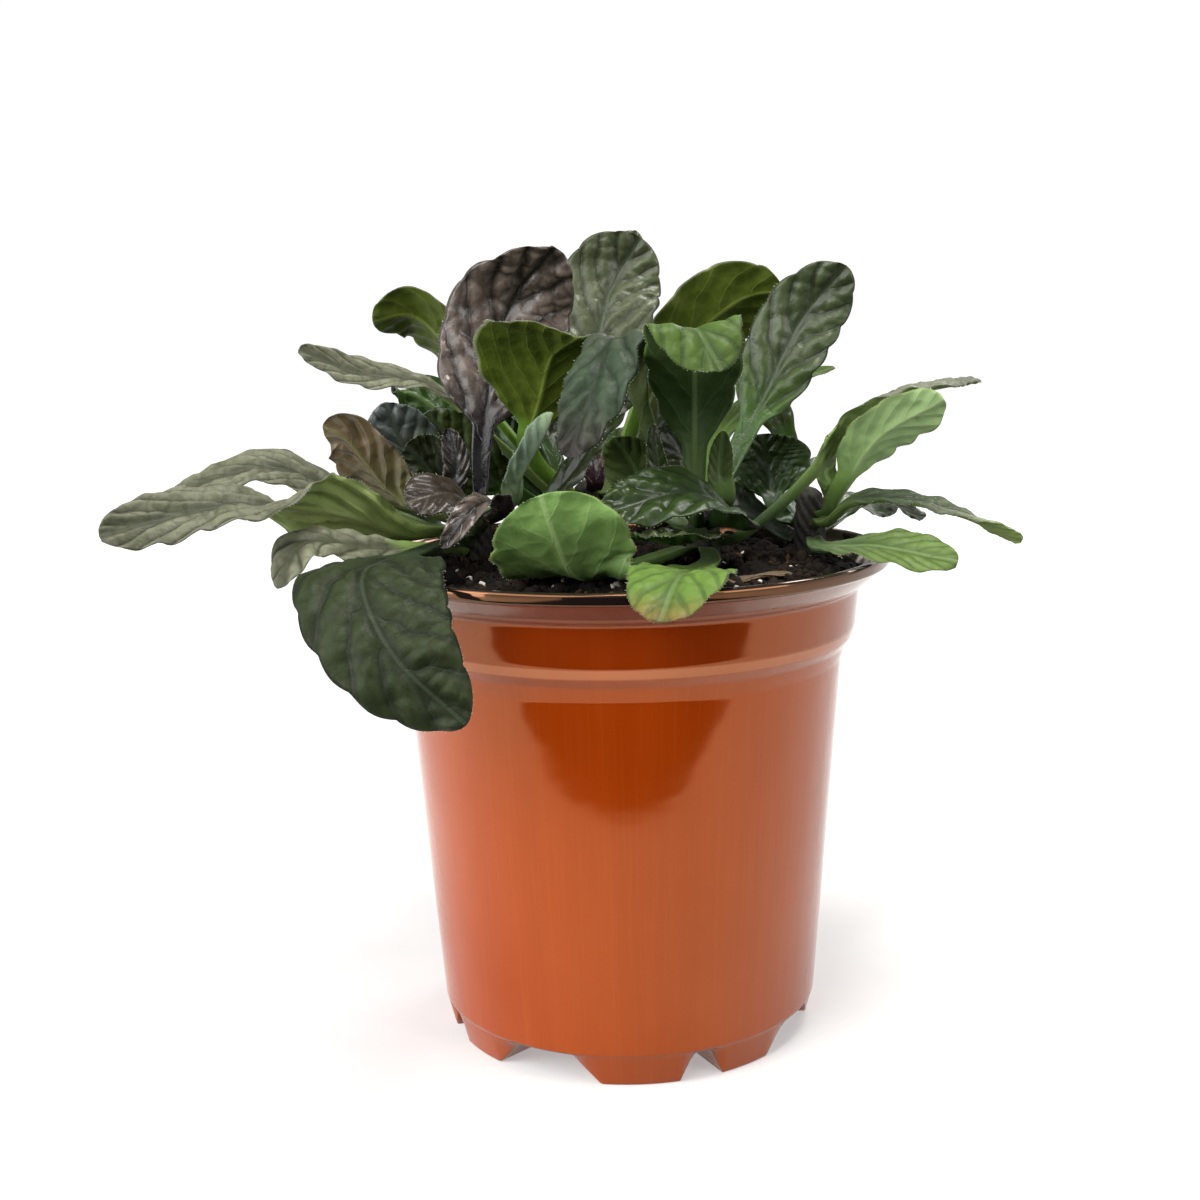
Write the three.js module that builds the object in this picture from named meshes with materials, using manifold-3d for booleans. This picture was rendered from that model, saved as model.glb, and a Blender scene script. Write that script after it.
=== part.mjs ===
// A bugleweed plant in a round plastic nursery pot, at real size.
// Millimetres, +Z up. The origin is the centre of the pot's underside, on the surface it stands on.
// -Y is the front of the plant, where the longest leaves hang over the rim to the left and right.

import * as THREE from 'three';
import { mergeVertices } from 'three/addons/utils/BufferGeometryUtils.js';
import Module from 'manifold-3d';

const wasm = await Module();
wasm.setup();

// Driving dimensions

const GAP = 0.3; // between two pieces that touch

const POT = {
  wall: 1,
  bottomWall: 1.2,
  hubRadius: 17, // flat centre of the underside
  channelStart: 21,
  channelHeight: 6.8, // the underside is raised this much along eight channels
  footRadius: 45.1,
  bodyBottom: [47.1, 7.8], // radius and height of the body's lower edge
  bodyTop: [53.6, 93],
  shoulder: [[54.6, 96.4], [56.2, 98.6], [57, 101.4]], // rounded step up to the collar
  collarTop: [57.8, 110.6],
  flare: [[59.6, 112], [64.2, 116]],
  lip: [[65, 116.4], [65, 118.6], [64.3, 119]],
  inside: [
    [62.8, 118.9], [60.6, 117.2], [57.9, 113.4], [56.6, 110.4], [55.9, 101.6], [55, 99.2], [53.4, 97],
  ],
  largeChannel: { centre: -25, bottomHalf: 17.5, topHalf: 9 }, // degrees round the pot, from the front
  smallChannel: { centre: 23, bottomHalf: 7, topHalf: 2.6 },
  plainStretch: [4, 39], // directions between the channels
  largeDrain: { radius: 5.5, at: 37, sides: 16 },
  smallDrain: { radius: 2.4, at: 38, sides: 10 },
};

const SOIL = {
  bottom: 8.4,
  edgeHeight: 114.6,
  moundHeight: 117.4,
  lump: 0.6, // height of the low hills and hollows
  lumpTurn: [0.31, 0.27], // radians in a millimetre along X and Y
  lumpPhase: [1.1, -0.4],
  rings: [51, 41, 28, 14],
  sectors: 24,
};

const CROWN = {
  radius: 4,
  topRadius: 3.1,
  rootRadius: 2.4,
  rootDepth: 15, // below the soil surface
  neckDepth: 4, // the root narrows from here down
  firstTier: 119.2, // height of the lowest pair of leaf bases
  tierStep: 2.3,
  taperTier: 2, // the crown narrows above this tier
  topTier: 5.6,
  bevel: 1.4,
  dome: 0.5,
  sides: 12,
};

const LEAF = {
  stalkHalf: [1.6, 2.4], // half width of the stalk at its seat and where the blade starts
  stalkThickness: 1.7,
  bladeThickness: 0.6,
  thinning: 0.2, // share of the blade's length over which it thins, folds and curls
  shoulder: [2.6, 1], // the stalk leaves the crown almost level: this far out and up
  stalkSteps: 4,
  bladeSteps: 8,
  shape: [0.75, 0.5], // powers at which the blade widens from its stalk and closes at the tip
  wave: 0.7, // height of the slow waves along the margin
  waves: 9, // radians of wave in the leaf's length
  waveLag: 2.2, // of the right margin behind the left one
};

// Centres of the four rooted rosettes, seen from above

const CROWNS = {
  left: [-36, 2],
  front: [20, -6],
  right: [47, 9],
  rear: [-10, 34],
};

// Leaves. Each starts on its crown at a tier and follows the hand-chosen midrib points.
// half, fold and curl are one number for both sides of the blade, or the left and the right one.
// roll turns the blade about its midrib at each point, in degrees, lifting the right side.
// half is the width of a side, and shape how it widens and closes where it isn't as usual.
// stalk is the share of the length that is bare stalk.
// fold is the angle of a side at the midrib, and curl what is added to it by the margin.
// heading is the way the leaf leans, in degrees from +X towards +Y, where it isn't that of its path.

const LEAVES = {
  left_leaf_1: {
    tier: 2, tone: 'grey',
    path: [[-52, -10, 125], [-66, -20, 131], [-84, -36, 135], [-112, -52, 131]], roll: [-50, -70, 20, 42],
    half: 12, stalk: 0.14, fold: 14, curl: -12,
  },
  left_leaf_2: {
    tier: 1, tone: 'grey',
    path: [[-71, 8, 133], [-87, 2, 140], [-110, -8, 134]], roll: [10, 26, 30],
    half: [9, 10], stalk: 0.24, fold: 12, curl: -20,
  },
  left_leaf_3: {
    tier: 0, tone: 'grey',
    path: [[-58, -24, 123.5], [-71, -36, 126], [-75, -44, 117]], roll: [30, 20, 10],
    half: 8, stalk: 0.3, fold: 10, curl: -24,
  },
  left_leaf_4: {
    tier: 1, tone: 'dark',
    path: [[-47, -30, 122.5], [-54, -55, 121.5], [-46, -69, 108], [-30, -73, 93]], roll: [0, 8, 10, 10],
    half: [18, 15.5], shape: [0.42, 0.6], stalk: 0.32, fold: [12, -8], curl: [-14, -16],
  },
  left_leaf_5: {
    tier: 3, tone: 'bronze',
    path: [[-55, 0, 133], [-61, -4, 141], [-66, -6, 148], [-72, -6, 151]], roll: [-40, -50, -60, -60],
    half: 10, stalk: 0.2, fold: 14, curl: -20,
  },
  left_leaf_6: {
    tier: 3, tone: 'dark', heading: 120,
    path: [[-50, 13, 133], [-56, 13, 146], [-59, 10, 156]], roll: [0, 20, 30],
    half: 10.5, stalk: 0.3, fold: 14, curl: [30, -20],
  },
  left_leaf_7: {
    tier: 2, tone: 'bronze',
    path: [[-34, -12, 129], [-39, -19, 135], [-49, -27, 134]], roll: [30, 35, 35],
    half: 9, stalk: 0.26, fold: 10, curl: -10,
  },
  left_leaf_8: {
    tier: 3, tone: 'purple',
    path: [[-28, -10, 130], [-32, -26, 133], [-40, -35, 124]], roll: [0, 10, 20],
    half: 5, stalk: 0.3, fold: 20, curl: 20,
  },
  left_leaf_9: {
    tier: 5, tone: 'purple', heading: 95,
    path: [[-35, 12, 144], [-32, 20, 164], [-27, 22, 180], [-15, 14, 193]],
    half: [16, 18], shape: [0.5, 0.5], stalk: 0.28, fold: 10, curl: -4,
  },
  left_leaf_10: {
    tier: 4, tone: 'grey',
    path: [[-27, -4, 131], [-23, -12, 139], [-17, -14, 149], [-15, -12, 154]],
    half: 5.5, stalk: 0.3, fold: 26, curl: 20,
  },
  left_leaf_11: {
    tier: 4, tone: 'dark', heading: 130,
    path: [[-44, 4, 132], [-48, 3, 140], [-53, 0, 146]],
    half: 8.75, stalk: 0.2, fold: 12, curl: -10,
  },
  left_leaf_12: {
    tier: 0, tone: 'dark',
    path: [[-50, 24, 122], [-68, 40, 127], [-84, 56, 120]],
    half: 11, stalk: 0.3, fold: 12, curl: -12,
  },
  left_leaf_13: {
    tier: 2, tone: 'dark',
    path: [[-45, 24, 127], [-54, 42, 134], [-62, 58, 131]],
    half: 10, stalk: 0.3, fold: 12, curl: -10,
  },
  left_leaf_14: {
    tier: 5, tone: 'purple', heading: 100,
    path: [[-40, -1, 141], [-42, 0, 150]],
    half: 4.5, stalk: 0.3, fold: 20, curl: 10,
  },
  left_leaf_15: {
    tier: 0, tone: 'dark', heading: 50,
    path: [[-13, 7, 136], [0, 10, 154], [5, 7, 159]],
    half: 6.5, stalk: 0.31, fold: 12, curl: -8,
  },

  front_leaf_1: {
    tier: 2, tone: 'dark',
    path: [[17, -21, 125], [12, -35, 125], [5, -43, 128]],
    half: 11, stalk: 0.24, fold: 12, curl: -10,
  },
  front_leaf_2: {
    tier: 3, tone: 'dark',
    path: [[26, -19, 130], [16, -29, 135.5], [-4, -37, 132]], roll: [20, 30, 34],
    half: 11, shape: [0.4, 0.5], stalk: 0.12, fold: 12, curl: -10,
  },
  front_leaf_3: {
    tier: 0, tone: 'bright', heading: -90,
    path: [[4, -26, 119], [-9, -41, 119], [-13, -50, 129], [-16, -52, 139]],
    half: 17, stalk: 0.4, fold: 10, curl: -12,
  },
  front_leaf_4: {
    tier: 0, tone: 'bright',
    path: [[21, -26, 119.5], [17, -44, 120], [13, -62, 121], [9, -74, 114]],
    half: 12, stalk: 0.4, fold: 8, curl: -6,
  },
  front_leaf_5: {
    tier: 4, tone: 'grey',
    path: [[6, -2, 152], [0, -10, 170], [-5, -24, 159], [-11, -28, 143]], roll: [0, 0, 20, 20],
    half: [10, 9.5], stalk: 0.34, fold: 8, curl: -16,
  },
  front_leaf_6: {
    tier: 3, tone: 'bright', heading: -90,
    path: [[18, -13, 152], [18, -21, 165], [18, -28, 172], [24, -35, 162]],
    half: 12.5, stalk: 0.3, fold: 10, curl: -6,
  },
  front_leaf_7: {
    tier: 5, tone: 'dark', heading: 80,
    path: [[28, 6, 140], [36, 14, 155], [46, 18, 174], [57, 14, 187]],
    half: 11.5, stalk: 0.34, fold: 12, curl: -8,
  },
  front_leaf_8: {
    tier: 1, tone: 'grey',
    path: [[27, -13, 123], [41, -4, 132], [55, 2, 145], [67, 6, 154], [89, 6, 158]],
    roll: [20, 30, 40, 10, 0],
    half: 9, stalk: 0.4, fold: 12, curl: -8,
  },
  front_leaf_9: {
    tier: 2, tone: 'bright', heading: 90,
    path: [[6, 5, 134], [2, 4, 141], [-2, 0, 147]],
    half: 8, stalk: 0.3, fold: 12, curl: -8,
  },
  front_leaf_10: {
    tier: 5, tone: 'dark', heading: 90,
    path: [[10, -10, 137], [8, -12, 151]],
    half: 3.4, stalk: 0.3, fold: 20, curl: 10,
  },
  front_leaf_11: {
    tier: 4, tone: 'bright',
    path: [[21, 14, 134], [28, 28, 147], [38, 35, 154], [57, 38, 161]],
    half: 7, stalk: 0.46, fold: 12, curl: -8,
  },
  front_leaf_12: {
    tier: 5, tone: 'bright', heading: 90,
    path: [[24, -8, 138], [25, -9, 149]],
    half: 4, stalk: 0.3, fold: 20, curl: 10,
  },

  right_leaf_1: {
    tier: 3, tone: 'bright',
    path: [[53, 1, 132], [62, -6, 146], [77, -11, 155]], roll: [30, 40, 40],
    half: [10, 9], stalk: 0.3, fold: 12, curl: -8,
  },
  right_leaf_2: {
    tier: 2, tone: 'grey',
    path: [[50, -3, 125.5], [56, -9, 131], [73, -16, 130], [94, -20, 122]], roll: [-10, -20, 0, 40],
    half: 7, stalk: 0.24, fold: 12, curl: -10,
  },
  right_leaf_3: {
    tier: 0, tone: 'bright',
    path: [[48, -10, 120], [58, -23, 122], [77, -32, 119]], roll: [-10, -20, -20],
    half: 8.5, stalk: 0.36, fold: 8, curl: -6,
  },
  right_leaf_4: {
    tier: 2, tone: 'dark', heading: 90,
    path: [[39, 12, 127], [37, 18, 137], [36, 18, 146]],
    half: 12.5, stalk: 0.34, fold: 12, curl: -8,
  },
  right_leaf_5: {
    tier: 4, tone: 'dark', heading: 90,
    path: [[42, 22, 144], [35, 27, 160], [36, 25, 171]],
    half: 6, stalk: 0.4, fold: 12, curl: -8,
  },
  right_leaf_6: {
    tier: 0, tone: 'dark',
    path: [[55, 27, 122], [64, 45, 126], [72, 62, 118]],
    half: 10, stalk: 0.3, fold: 12, curl: -8,
  },
  right_leaf_7: {
    tier: 1, tone: 'dark',
    path: [[45, 34, 126], [43, 58, 133], [47, 84, 125]],
    half: 12, stalk: 0.3, fold: 12, curl: -8,
  },
  right_leaf_8: {
    tier: 2, tone: 'dark',
    path: [[58, 20, 127], [68, 25, 127], [79, 29, 121]],
    half: 8, stalk: 0.3, fold: 12, curl: -10,
  },
  right_leaf_9: {
    tier: 5, tone: 'bright', heading: 90,
    path: [[51, 9, 136], [52, 10, 144]],
    half: 3.5, stalk: 0.3, fold: 20, curl: 10,
  },
  right_leaf_10: {
    tier: 0, tone: 'dark', heading: 70,
    path: [[29, 22, 129], [14, 33, 139], [4, 38, 142]],
    half: 10, stalk: 0.28, fold: 12, curl: -8,
  },

  rear_leaf_1: {
    tier: 3, tone: 'grey',
    path: [[-33, 33, 143], [-50, 26, 158], [-69, 18, 163], [-81, 12, 169]], roll: [0, 20, 40, 40],
    half: 7.5, stalk: 0.34, fold: 14, curl: -10,
  },
  rear_leaf_2: {
    tier: 4, tone: 'olive', heading: 180,
    path: [[-35, 40, 151], [-46, 43, 167], [-56, 43, 177], [-67, 40, 175]], roll: [0, -30, -50, -50],
    half: [12, 13], shape: [0.5, 0.5], stalk: 0.4, fold: 10, curl: -10,
  },
  rear_leaf_3: {
    tier: 5, tone: 'dark', heading: 90,
    path: [[-9, 44, 153], [-6, 52, 172], [-2, 58, 185], [6, 58, 197]],
    half: 15.5, stalk: 0.4, fold: 12, curl: -8,
  },
  rear_leaf_4: {
    tier: 3, tone: 'dark', heading: 90,
    path: [[-4, 54, 150], [-4, 68, 180], [3, 82, 200]],
    half: 9, stalk: 0.46, fold: 12, curl: -8,
  },
  rear_leaf_5: {
    tier: 3, tone: 'olive', heading: -20,
    path: [[5, 32, 152], [19, 27, 170], [31, 24, 179], [42, 21, 181]], roll: [0, 40, 50, 50],
    half: 14, stalk: 0.34, fold: 12, curl: -10,
  },
  rear_leaf_6: {
    tier: 4, tone: 'olive', heading: -90,
    path: [[-24, 20, 142], [-20, 11, 155], [-16, 2, 166], [-9, -9, 171]],
    half: [18.5, 20.5], shape: [1, 0.5], stalk: 0.42, fold: 12, curl: -8,
  },
  rear_leaf_7: {
    tier: 1, tone: 'dark', heading: 95,
    path: [[-31, 27, 132], [-43, 22, 143], [-50, 19, 153]], roll: [0, 10, 10],
    half: 11, stalk: 0.4, fold: 12, curl: -10,
  },
  rear_leaf_8: {
    tier: 0, tone: 'dark',
    path: [[-26, 60, 128], [-38, 80, 138], [-50, 100, 128]],
    half: 12, stalk: 0.3, fold: 12, curl: -12,
  },
  rear_leaf_9: {
    tier: 1, tone: 'dark',
    path: [[-6, 62, 132], [-4, 86, 142], [0, 110, 130]],
    half: 12, stalk: 0.3, fold: 12, curl: -12,
  },
  rear_leaf_10: {
    tier: 0, tone: 'dark',
    path: [[8, 50, 124], [20, 74, 131], [28, 96, 121]],
    half: 12, stalk: 0.3, fold: 12, curl: -12,
  },
  rear_leaf_11: {
    tier: 4, tone: 'grey', heading: 60,
    path: [[8, 44, 158], [20, 47, 174], [30, 46, 182], [41, 44, 183]],
    half: [9, 8], stalk: 0.4, fold: 12, curl: -8,
  },
  rear_leaf_12: {
    tier: 2, tone: 'dark',
    path: [[-22, 52, 144], [-30, 66, 160], [-36, 78, 166]],
    half: 11, stalk: 0.34, fold: 12, curl: -10,
  },
  rear_leaf_13: {
    tier: 2, tone: 'dark',
    path: [[8, 52, 144], [18, 66, 160], [26, 80, 166]],
    half: 11, stalk: 0.34, fold: 12, curl: -10,
  },
  rear_leaf_14: {
    tier: 5, tone: 'purple', heading: 90,
    path: [[-8, 30, 142], [-8, 29, 151]],
    half: 4, stalk: 0.3, fold: 20, curl: 10,
  },
  rear_leaf_15: {
    tier: 1, tone: 'dark', heading: -90,
    path: [[-31, 37, 136], [-57, 41, 156], [-63, 42, 156]],
    half: 9, stalk: 0.42, fold: 12, curl: -8,
  },
  rear_leaf_16: {
    tier: 1, tone: 'dark', heading: -90,
    path: [[-21, 46, 130], [-32, 58, 141], [-35, 60, 149]],
    half: 8, stalk: 0.32, fold: 12, curl: -8,
  },
};

// A withered leaf stalk lying on the soil at the front right, from its torn end to its seat end

const WITHERED = {
  path: [[22, -41], [30, -34], [39, -26]],
  half: 2.2,
  thickness: 1.4,
  lift: 0.2, // the stalk bows up this much over the lumps under it
  taper: [0.6, 1, 0.9, 0.5], // of its width, along its length
};

const COLOURS = {
  pot: { color: 0xb4501e, roughness: 0.25 },
  soil: { color: 0x1d1814, roughness: 1 },
  crown: { color: 0x5c4a3a, roughness: 0.8 },
  dark: { color: 0x33452f, roughness: 0.4 },
  grey: { color: 0x5b6558, roughness: 0.5 },
  bright: { color: 0x5f8243, roughness: 0.5 },
  olive: { color: 0x46542a, roughness: 0.5 },
  purple: { color: 0x4b4246, roughness: 0.4 },
  bronze: { color: 0x514639, roughness: 0.45 },
  withered: { color: 0x6b543a, roughness: 0.8 },
};

// Small helpers

const radians = THREE.MathUtils.degToRad;
const mix = THREE.MathUtils.lerp;
const bothSides = (value) => (Array.isArray(value) ? value : [value, value]);

function material({ color, roughness }) {
  return new THREE.MeshStandardMaterial({ color, roughness, metalness: 0 });
}

function solidFrom(geometry) {
  const bare = geometry.clone();
  bare.deleteAttribute('normal');
  bare.deleteAttribute('uv');
  const merged = mergeVertices(bare, 1e-5);
  const shape = new wasm.Mesh({
    numProp: 3,
    vertProperties: new Float32Array(merged.attributes.position.array),
    triVerts: new Uint32Array(merged.index.array),
  });
  return new wasm.Manifold(shape);
}

function geometryFrom(solid) {
  const { vertProperties, triVerts, numProp } = solid.getMesh();
  const position = new Float32Array((vertProperties.length / numProp) * 3);
  for (let v = 0; v < position.length / 3; v += 1) {
    for (let axis = 0; axis < 3; axis += 1) {
      position[v * 3 + axis] = vertProperties[v * numProp + axis];
    }
  }
  return indexed(position, Array.from(triVerts));
}

function indexed(position, index) {
  const geometry = new THREE.BufferGeometry();
  geometry.setAttribute('position', new THREE.Float32BufferAttribute(position, 3));
  geometry.setIndex(index);
  geometry.computeVertexNormals();
  return geometry;
}

function named(name, geometry, finish) {
  const mesh = new THREE.Mesh(geometry, material(finish));
  mesh.name = name;
  return mesh;
}

// A closed skin from rings of points, each ring running the same way round, with a point at each end.
// On a thin blade the second half of a ring lies under the first one. Its squares are then split along
// the same diagonal as those above them, so that the two faces stay apart where the blade twists.

function skinRings(first, rings, last, thin = false) {
  const around = rings[0].length;
  const points = [first, ...rings.flat(), last];
  const index = [];
  const at = (ring, k) => 1 + ring * around + (k % around);
  for (let k = 0; k < around; k += 1) {
    index.push(0, at(0, k + 1), at(0, k));
    for (let ring = 0; ring + 1 < rings.length; ring += 1) {
      const [a, b] = [at(ring, k), at(ring, k + 1)];
      const [c, d] = [at(ring + 1, k + 1), at(ring + 1, k)];
      if (thin && k >= around / 2) {
        index.push(a, b, d, b, c, d);
      } else {
        index.push(a, b, c, a, c, d);
      }
    }
    index.push(points.length - 1, at(rings.length - 1, k), at(rings.length - 1, k + 1));
  }
  return indexed(points.flatMap((p) => [p.x, p.y, p.z]), index);
}

// Pot. Directions are in degrees round the pot from the front, towards +X.

const QUARTERS = [0, 90, 180, 270];

function onRing(radius, degrees, z) {
  const theta = radians(degrees);
  return new THREE.Vector3(radius * Math.sin(theta), -radius * Math.cos(theta), z);
}

function potDirections() {
  const { largeChannel: large, smallChannel: small } = POT;
  const inQuarter = [
    large.centre - large.bottomHalf, large.centre - large.topHalf, large.centre,
    large.centre + large.topHalf, large.centre + large.bottomHalf, POT.plainStretch[0],
    small.centre - small.bottomHalf, small.centre - small.topHalf,
    small.centre + small.topHalf, small.centre + small.bottomHalf, POT.plainStretch[1],
  ];
  return QUARTERS.flatMap((turn) => inQuarter.map((angle) => angle + turn));
}

function channelShare(degrees) {
  const shares = [POT.largeChannel, POT.smallChannel].map((channel) => {
    const turn = degrees - channel.centre;
    const away = Math.abs(turn - 90 * Math.round(turn / 90));
    const share = (channel.bottomHalf - away) / (channel.bottomHalf - channel.topHalf);
    return THREE.MathUtils.clamp(share, 0, 1);
  });
  return Math.max(...shares);
}

function makePot() {
  const directions = potDirections();
  const ring = (radius, height) => directions.map((degrees) => {
    const z = typeof height === 'function' ? height(channelShare(degrees)) : height;
    return onRing(radius, degrees, z);
  });
  const raised = (share) => share * POT.channelHeight;
  const floor = (share) => raised(share) + POT.bottomWall;
  const innerFoot = POT.footRadius - POT.wall;
  const rings = [
    ring(POT.hubRadius, 0),
    ring(POT.channelStart, raised),
    ring(POT.footRadius, raised),
    ring(...POT.bodyBottom),
    ...[POT.bodyTop, ...POT.shoulder, POT.collarTop, ...POT.flare, ...POT.lip].map((p) => ring(...p)),
    ...POT.inside.map((p) => ring(...p)),
    ring(POT.bodyTop[0] - POT.wall, POT.bodyTop[1]),
    ring(POT.bodyBottom[0] - POT.wall, POT.bodyBottom[1] + POT.bottomWall),
    ring(innerFoot, floor),
    ring(POT.channelStart - POT.wall, floor),
    ring(POT.hubRadius - POT.wall, POT.bottomWall),
  ];
  const under = new THREE.Vector3(0, 0, 0);
  const inside = new THREE.Vector3(0, 0, POT.bottomWall);
  let pot = solidFrom(skinRings(under, rings, inside));
  for (const [channel, drain] of [
    [POT.largeChannel, POT.largeDrain],
    [POT.smallChannel, POT.smallDrain],
  ]) {
    for (const turn of QUARTERS) {
      const tool = new THREE.CylinderGeometry(drain.radius, drain.radius, 3 * POT.bottomWall, drain.sides);
      tool.rotateX(Math.PI / 2);
      const place = onRing(drain.at, channel.centre + turn, POT.channelHeight + POT.bottomWall / 2);
      tool.translate(place.x, place.y, place.z);
      pot = pot.subtract(solidFrom(tool));
    }
  }
  return geometryFrom(pot);
}

// Soil

function soilHeight(x, y) {
  const edge = POT.inside[2][0];
  const share = Math.hypot(x, y) / edge;
  const [turnX, turnY] = SOIL.lumpTurn;
  const [phaseX, phaseY] = SOIL.lumpPhase;
  const lump = SOIL.lump * Math.sin(x * turnX + phaseX) * Math.cos(y * turnY + phaseY);
  return mix(SOIL.moundHeight, SOIL.edgeHeight, share * share) + lump;
}

function makeSoil(crowns) {
  const step = 360 / SOIL.sectors;
  const directions = Array.from({ length: SOIL.sectors }, (_, k) => k * step);
  const level = (radius, z) => directions.map((degrees) => onRing(radius, degrees, z));
  const top = (radius) => directions.map((degrees) => {
    const p = onRing(radius, degrees, 0);
    return p.setZ(soilHeight(p.x, p.y));
  });
  const clear = 2 * GAP;
  const [, , flareFoot, collarInside, stepTop, , stepFoot] = POT.inside;
  const rings = [
    level(POT.bodyBottom[0] - POT.wall - clear, SOIL.bottom + POT.bottomWall),
    level(POT.bodyTop[0] - POT.wall - clear, POT.bodyTop[1]),
    level(stepFoot[0] - clear, stepFoot[1]),
    level(stepTop[0] - clear, stepTop[1]),
    level(collarInside[0] - clear, collarInside[1]),
    top(flareFoot[0] - clear - GAP),
    ...SOIL.rings.map(top),
  ];
  const base = new THREE.Vector3(0, 0, SOIL.bottom);
  const peak = new THREE.Vector3(0, 0, soilHeight(0, 0));
  let soil = solidFrom(skinRings(base, rings, peak));
  for (const crown of crowns) {
    soil = soil.subtract(crown);
  }
  return geometryFrom(soil);
}

// Crowns: short upright rootstocks, half buried, that the leaves sit on

function tierHeight(tier) {
  return CROWN.firstTier + tier * CROWN.tierStep;
}

function crownRadius(height) {
  const taper = tierHeight(CROWN.taperTier);
  const share = (height - taper) / (tierHeight(CROWN.topTier) - CROWN.bevel - taper);
  return mix(CROWN.radius, CROWN.topRadius, THREE.MathUtils.clamp(share, 0, 1));
}

function crownProfile(spread) {
  const foot = SOIL.moundHeight - CROWN.rootDepth;
  const top = tierHeight(CROWN.topTier);
  return [
    [0, foot - spread],
    [CROWN.rootRadius + spread, foot - spread],
    [CROWN.radius + spread, SOIL.moundHeight - CROWN.neckDepth],
    [CROWN.radius + spread, tierHeight(CROWN.taperTier)],
    [CROWN.topRadius + spread, top - CROWN.bevel],
    [CROWN.topRadius / 2, top],
    [0, top + CROWN.dome],
  ];
}

function makeCrown([x, y], spread = 0) {
  const profile = crownProfile(spread).map(([radius, z]) => new THREE.Vector2(radius, z));
  const crown = new THREE.LatheGeometry(profile, CROWN.sides);
  crown.rotateX(Math.PI / 2);
  crown.translate(x, y, 0);
  return crown;
}

// Leaves

function leafCurve(crown, tier, path) {
  const height = tierHeight(tier);
  const centre = new THREE.Vector3(...crown, height);
  const first = new THREE.Vector3(...path[0]);
  const out = first.clone().sub(centre).setZ(0).normalize();
  const seat = centre.clone().addScaledVector(out, crownRadius(height) + 2 * GAP);
  const [outwards, upwards] = LEAF.shoulder;
  const shoulder = seat.clone().addScaledVector(out, outwards).add(new THREE.Vector3(0, 0, upwards));
  return new THREE.CatmullRomCurve3([seat, shoulder, ...path.map((p) => new THREE.Vector3(...p))]);
}

function easedBetween(stops, values, at) {
  let k = 0;
  while (k + 2 < stops.length && at > stops[k + 1]) {
    k += 1;
  }
  const share = THREE.MathUtils.smoothstep(at, stops[k], stops[k + 1]);
  return mix(values[k], values[k + 1], share);
}

function rollAlong(curve, roll) {
  if (!roll) {
    return () => 0;
  }
  const lengths = curve.getLengths();
  const samples = lengths.length - 1;
  const last = curve.points.length - 1;
  const stops = curve.points.map((_, k) => lengths[Math.round((samples * k) / last)] / lengths[samples]);
  const values = [0, 0, ...roll];
  return (at) => radians(easedBetween(stops, values, at));
}

// Half width of the blade at a share b of its length: narrow at the stalk, broad and round at the end

function bladeOutline(b, [widening, rounding]) {
  const shape = (s) => s ** widening * (1 - s) ** rounding;
  return shape(b) / shape(widening / (widening + rounding));
}

function leafStations(stalk) {
  const along = [];
  for (let k = 0; k < LEAF.stalkSteps; k += 1) {
    along.push((stalk * k) / LEAF.stalkSteps);
  }
  for (let k = 0; k < LEAF.bladeSteps; k += 1) {
    const b = Math.sin((Math.PI / 2) * (k / LEAF.bladeSteps));
    along.push(mix(stalk, 1, b));
  }
  return along;
}

// Offset of a point of the blade from the midrib, sideways and upwards, where the side starts at
// angle fold and bends evenly by curl until the margin

function sideOffset(width, share, fold, curl) {
  const bend = Math.abs(curl) < 1e-4 ? 1e-4 : curl;
  const end = fold + bend * share;
  return [
    (width * (Math.sin(end) - Math.sin(fold))) / bend,
    (width * (Math.cos(fold) - Math.cos(end))) / bend,
  ];
}

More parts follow.
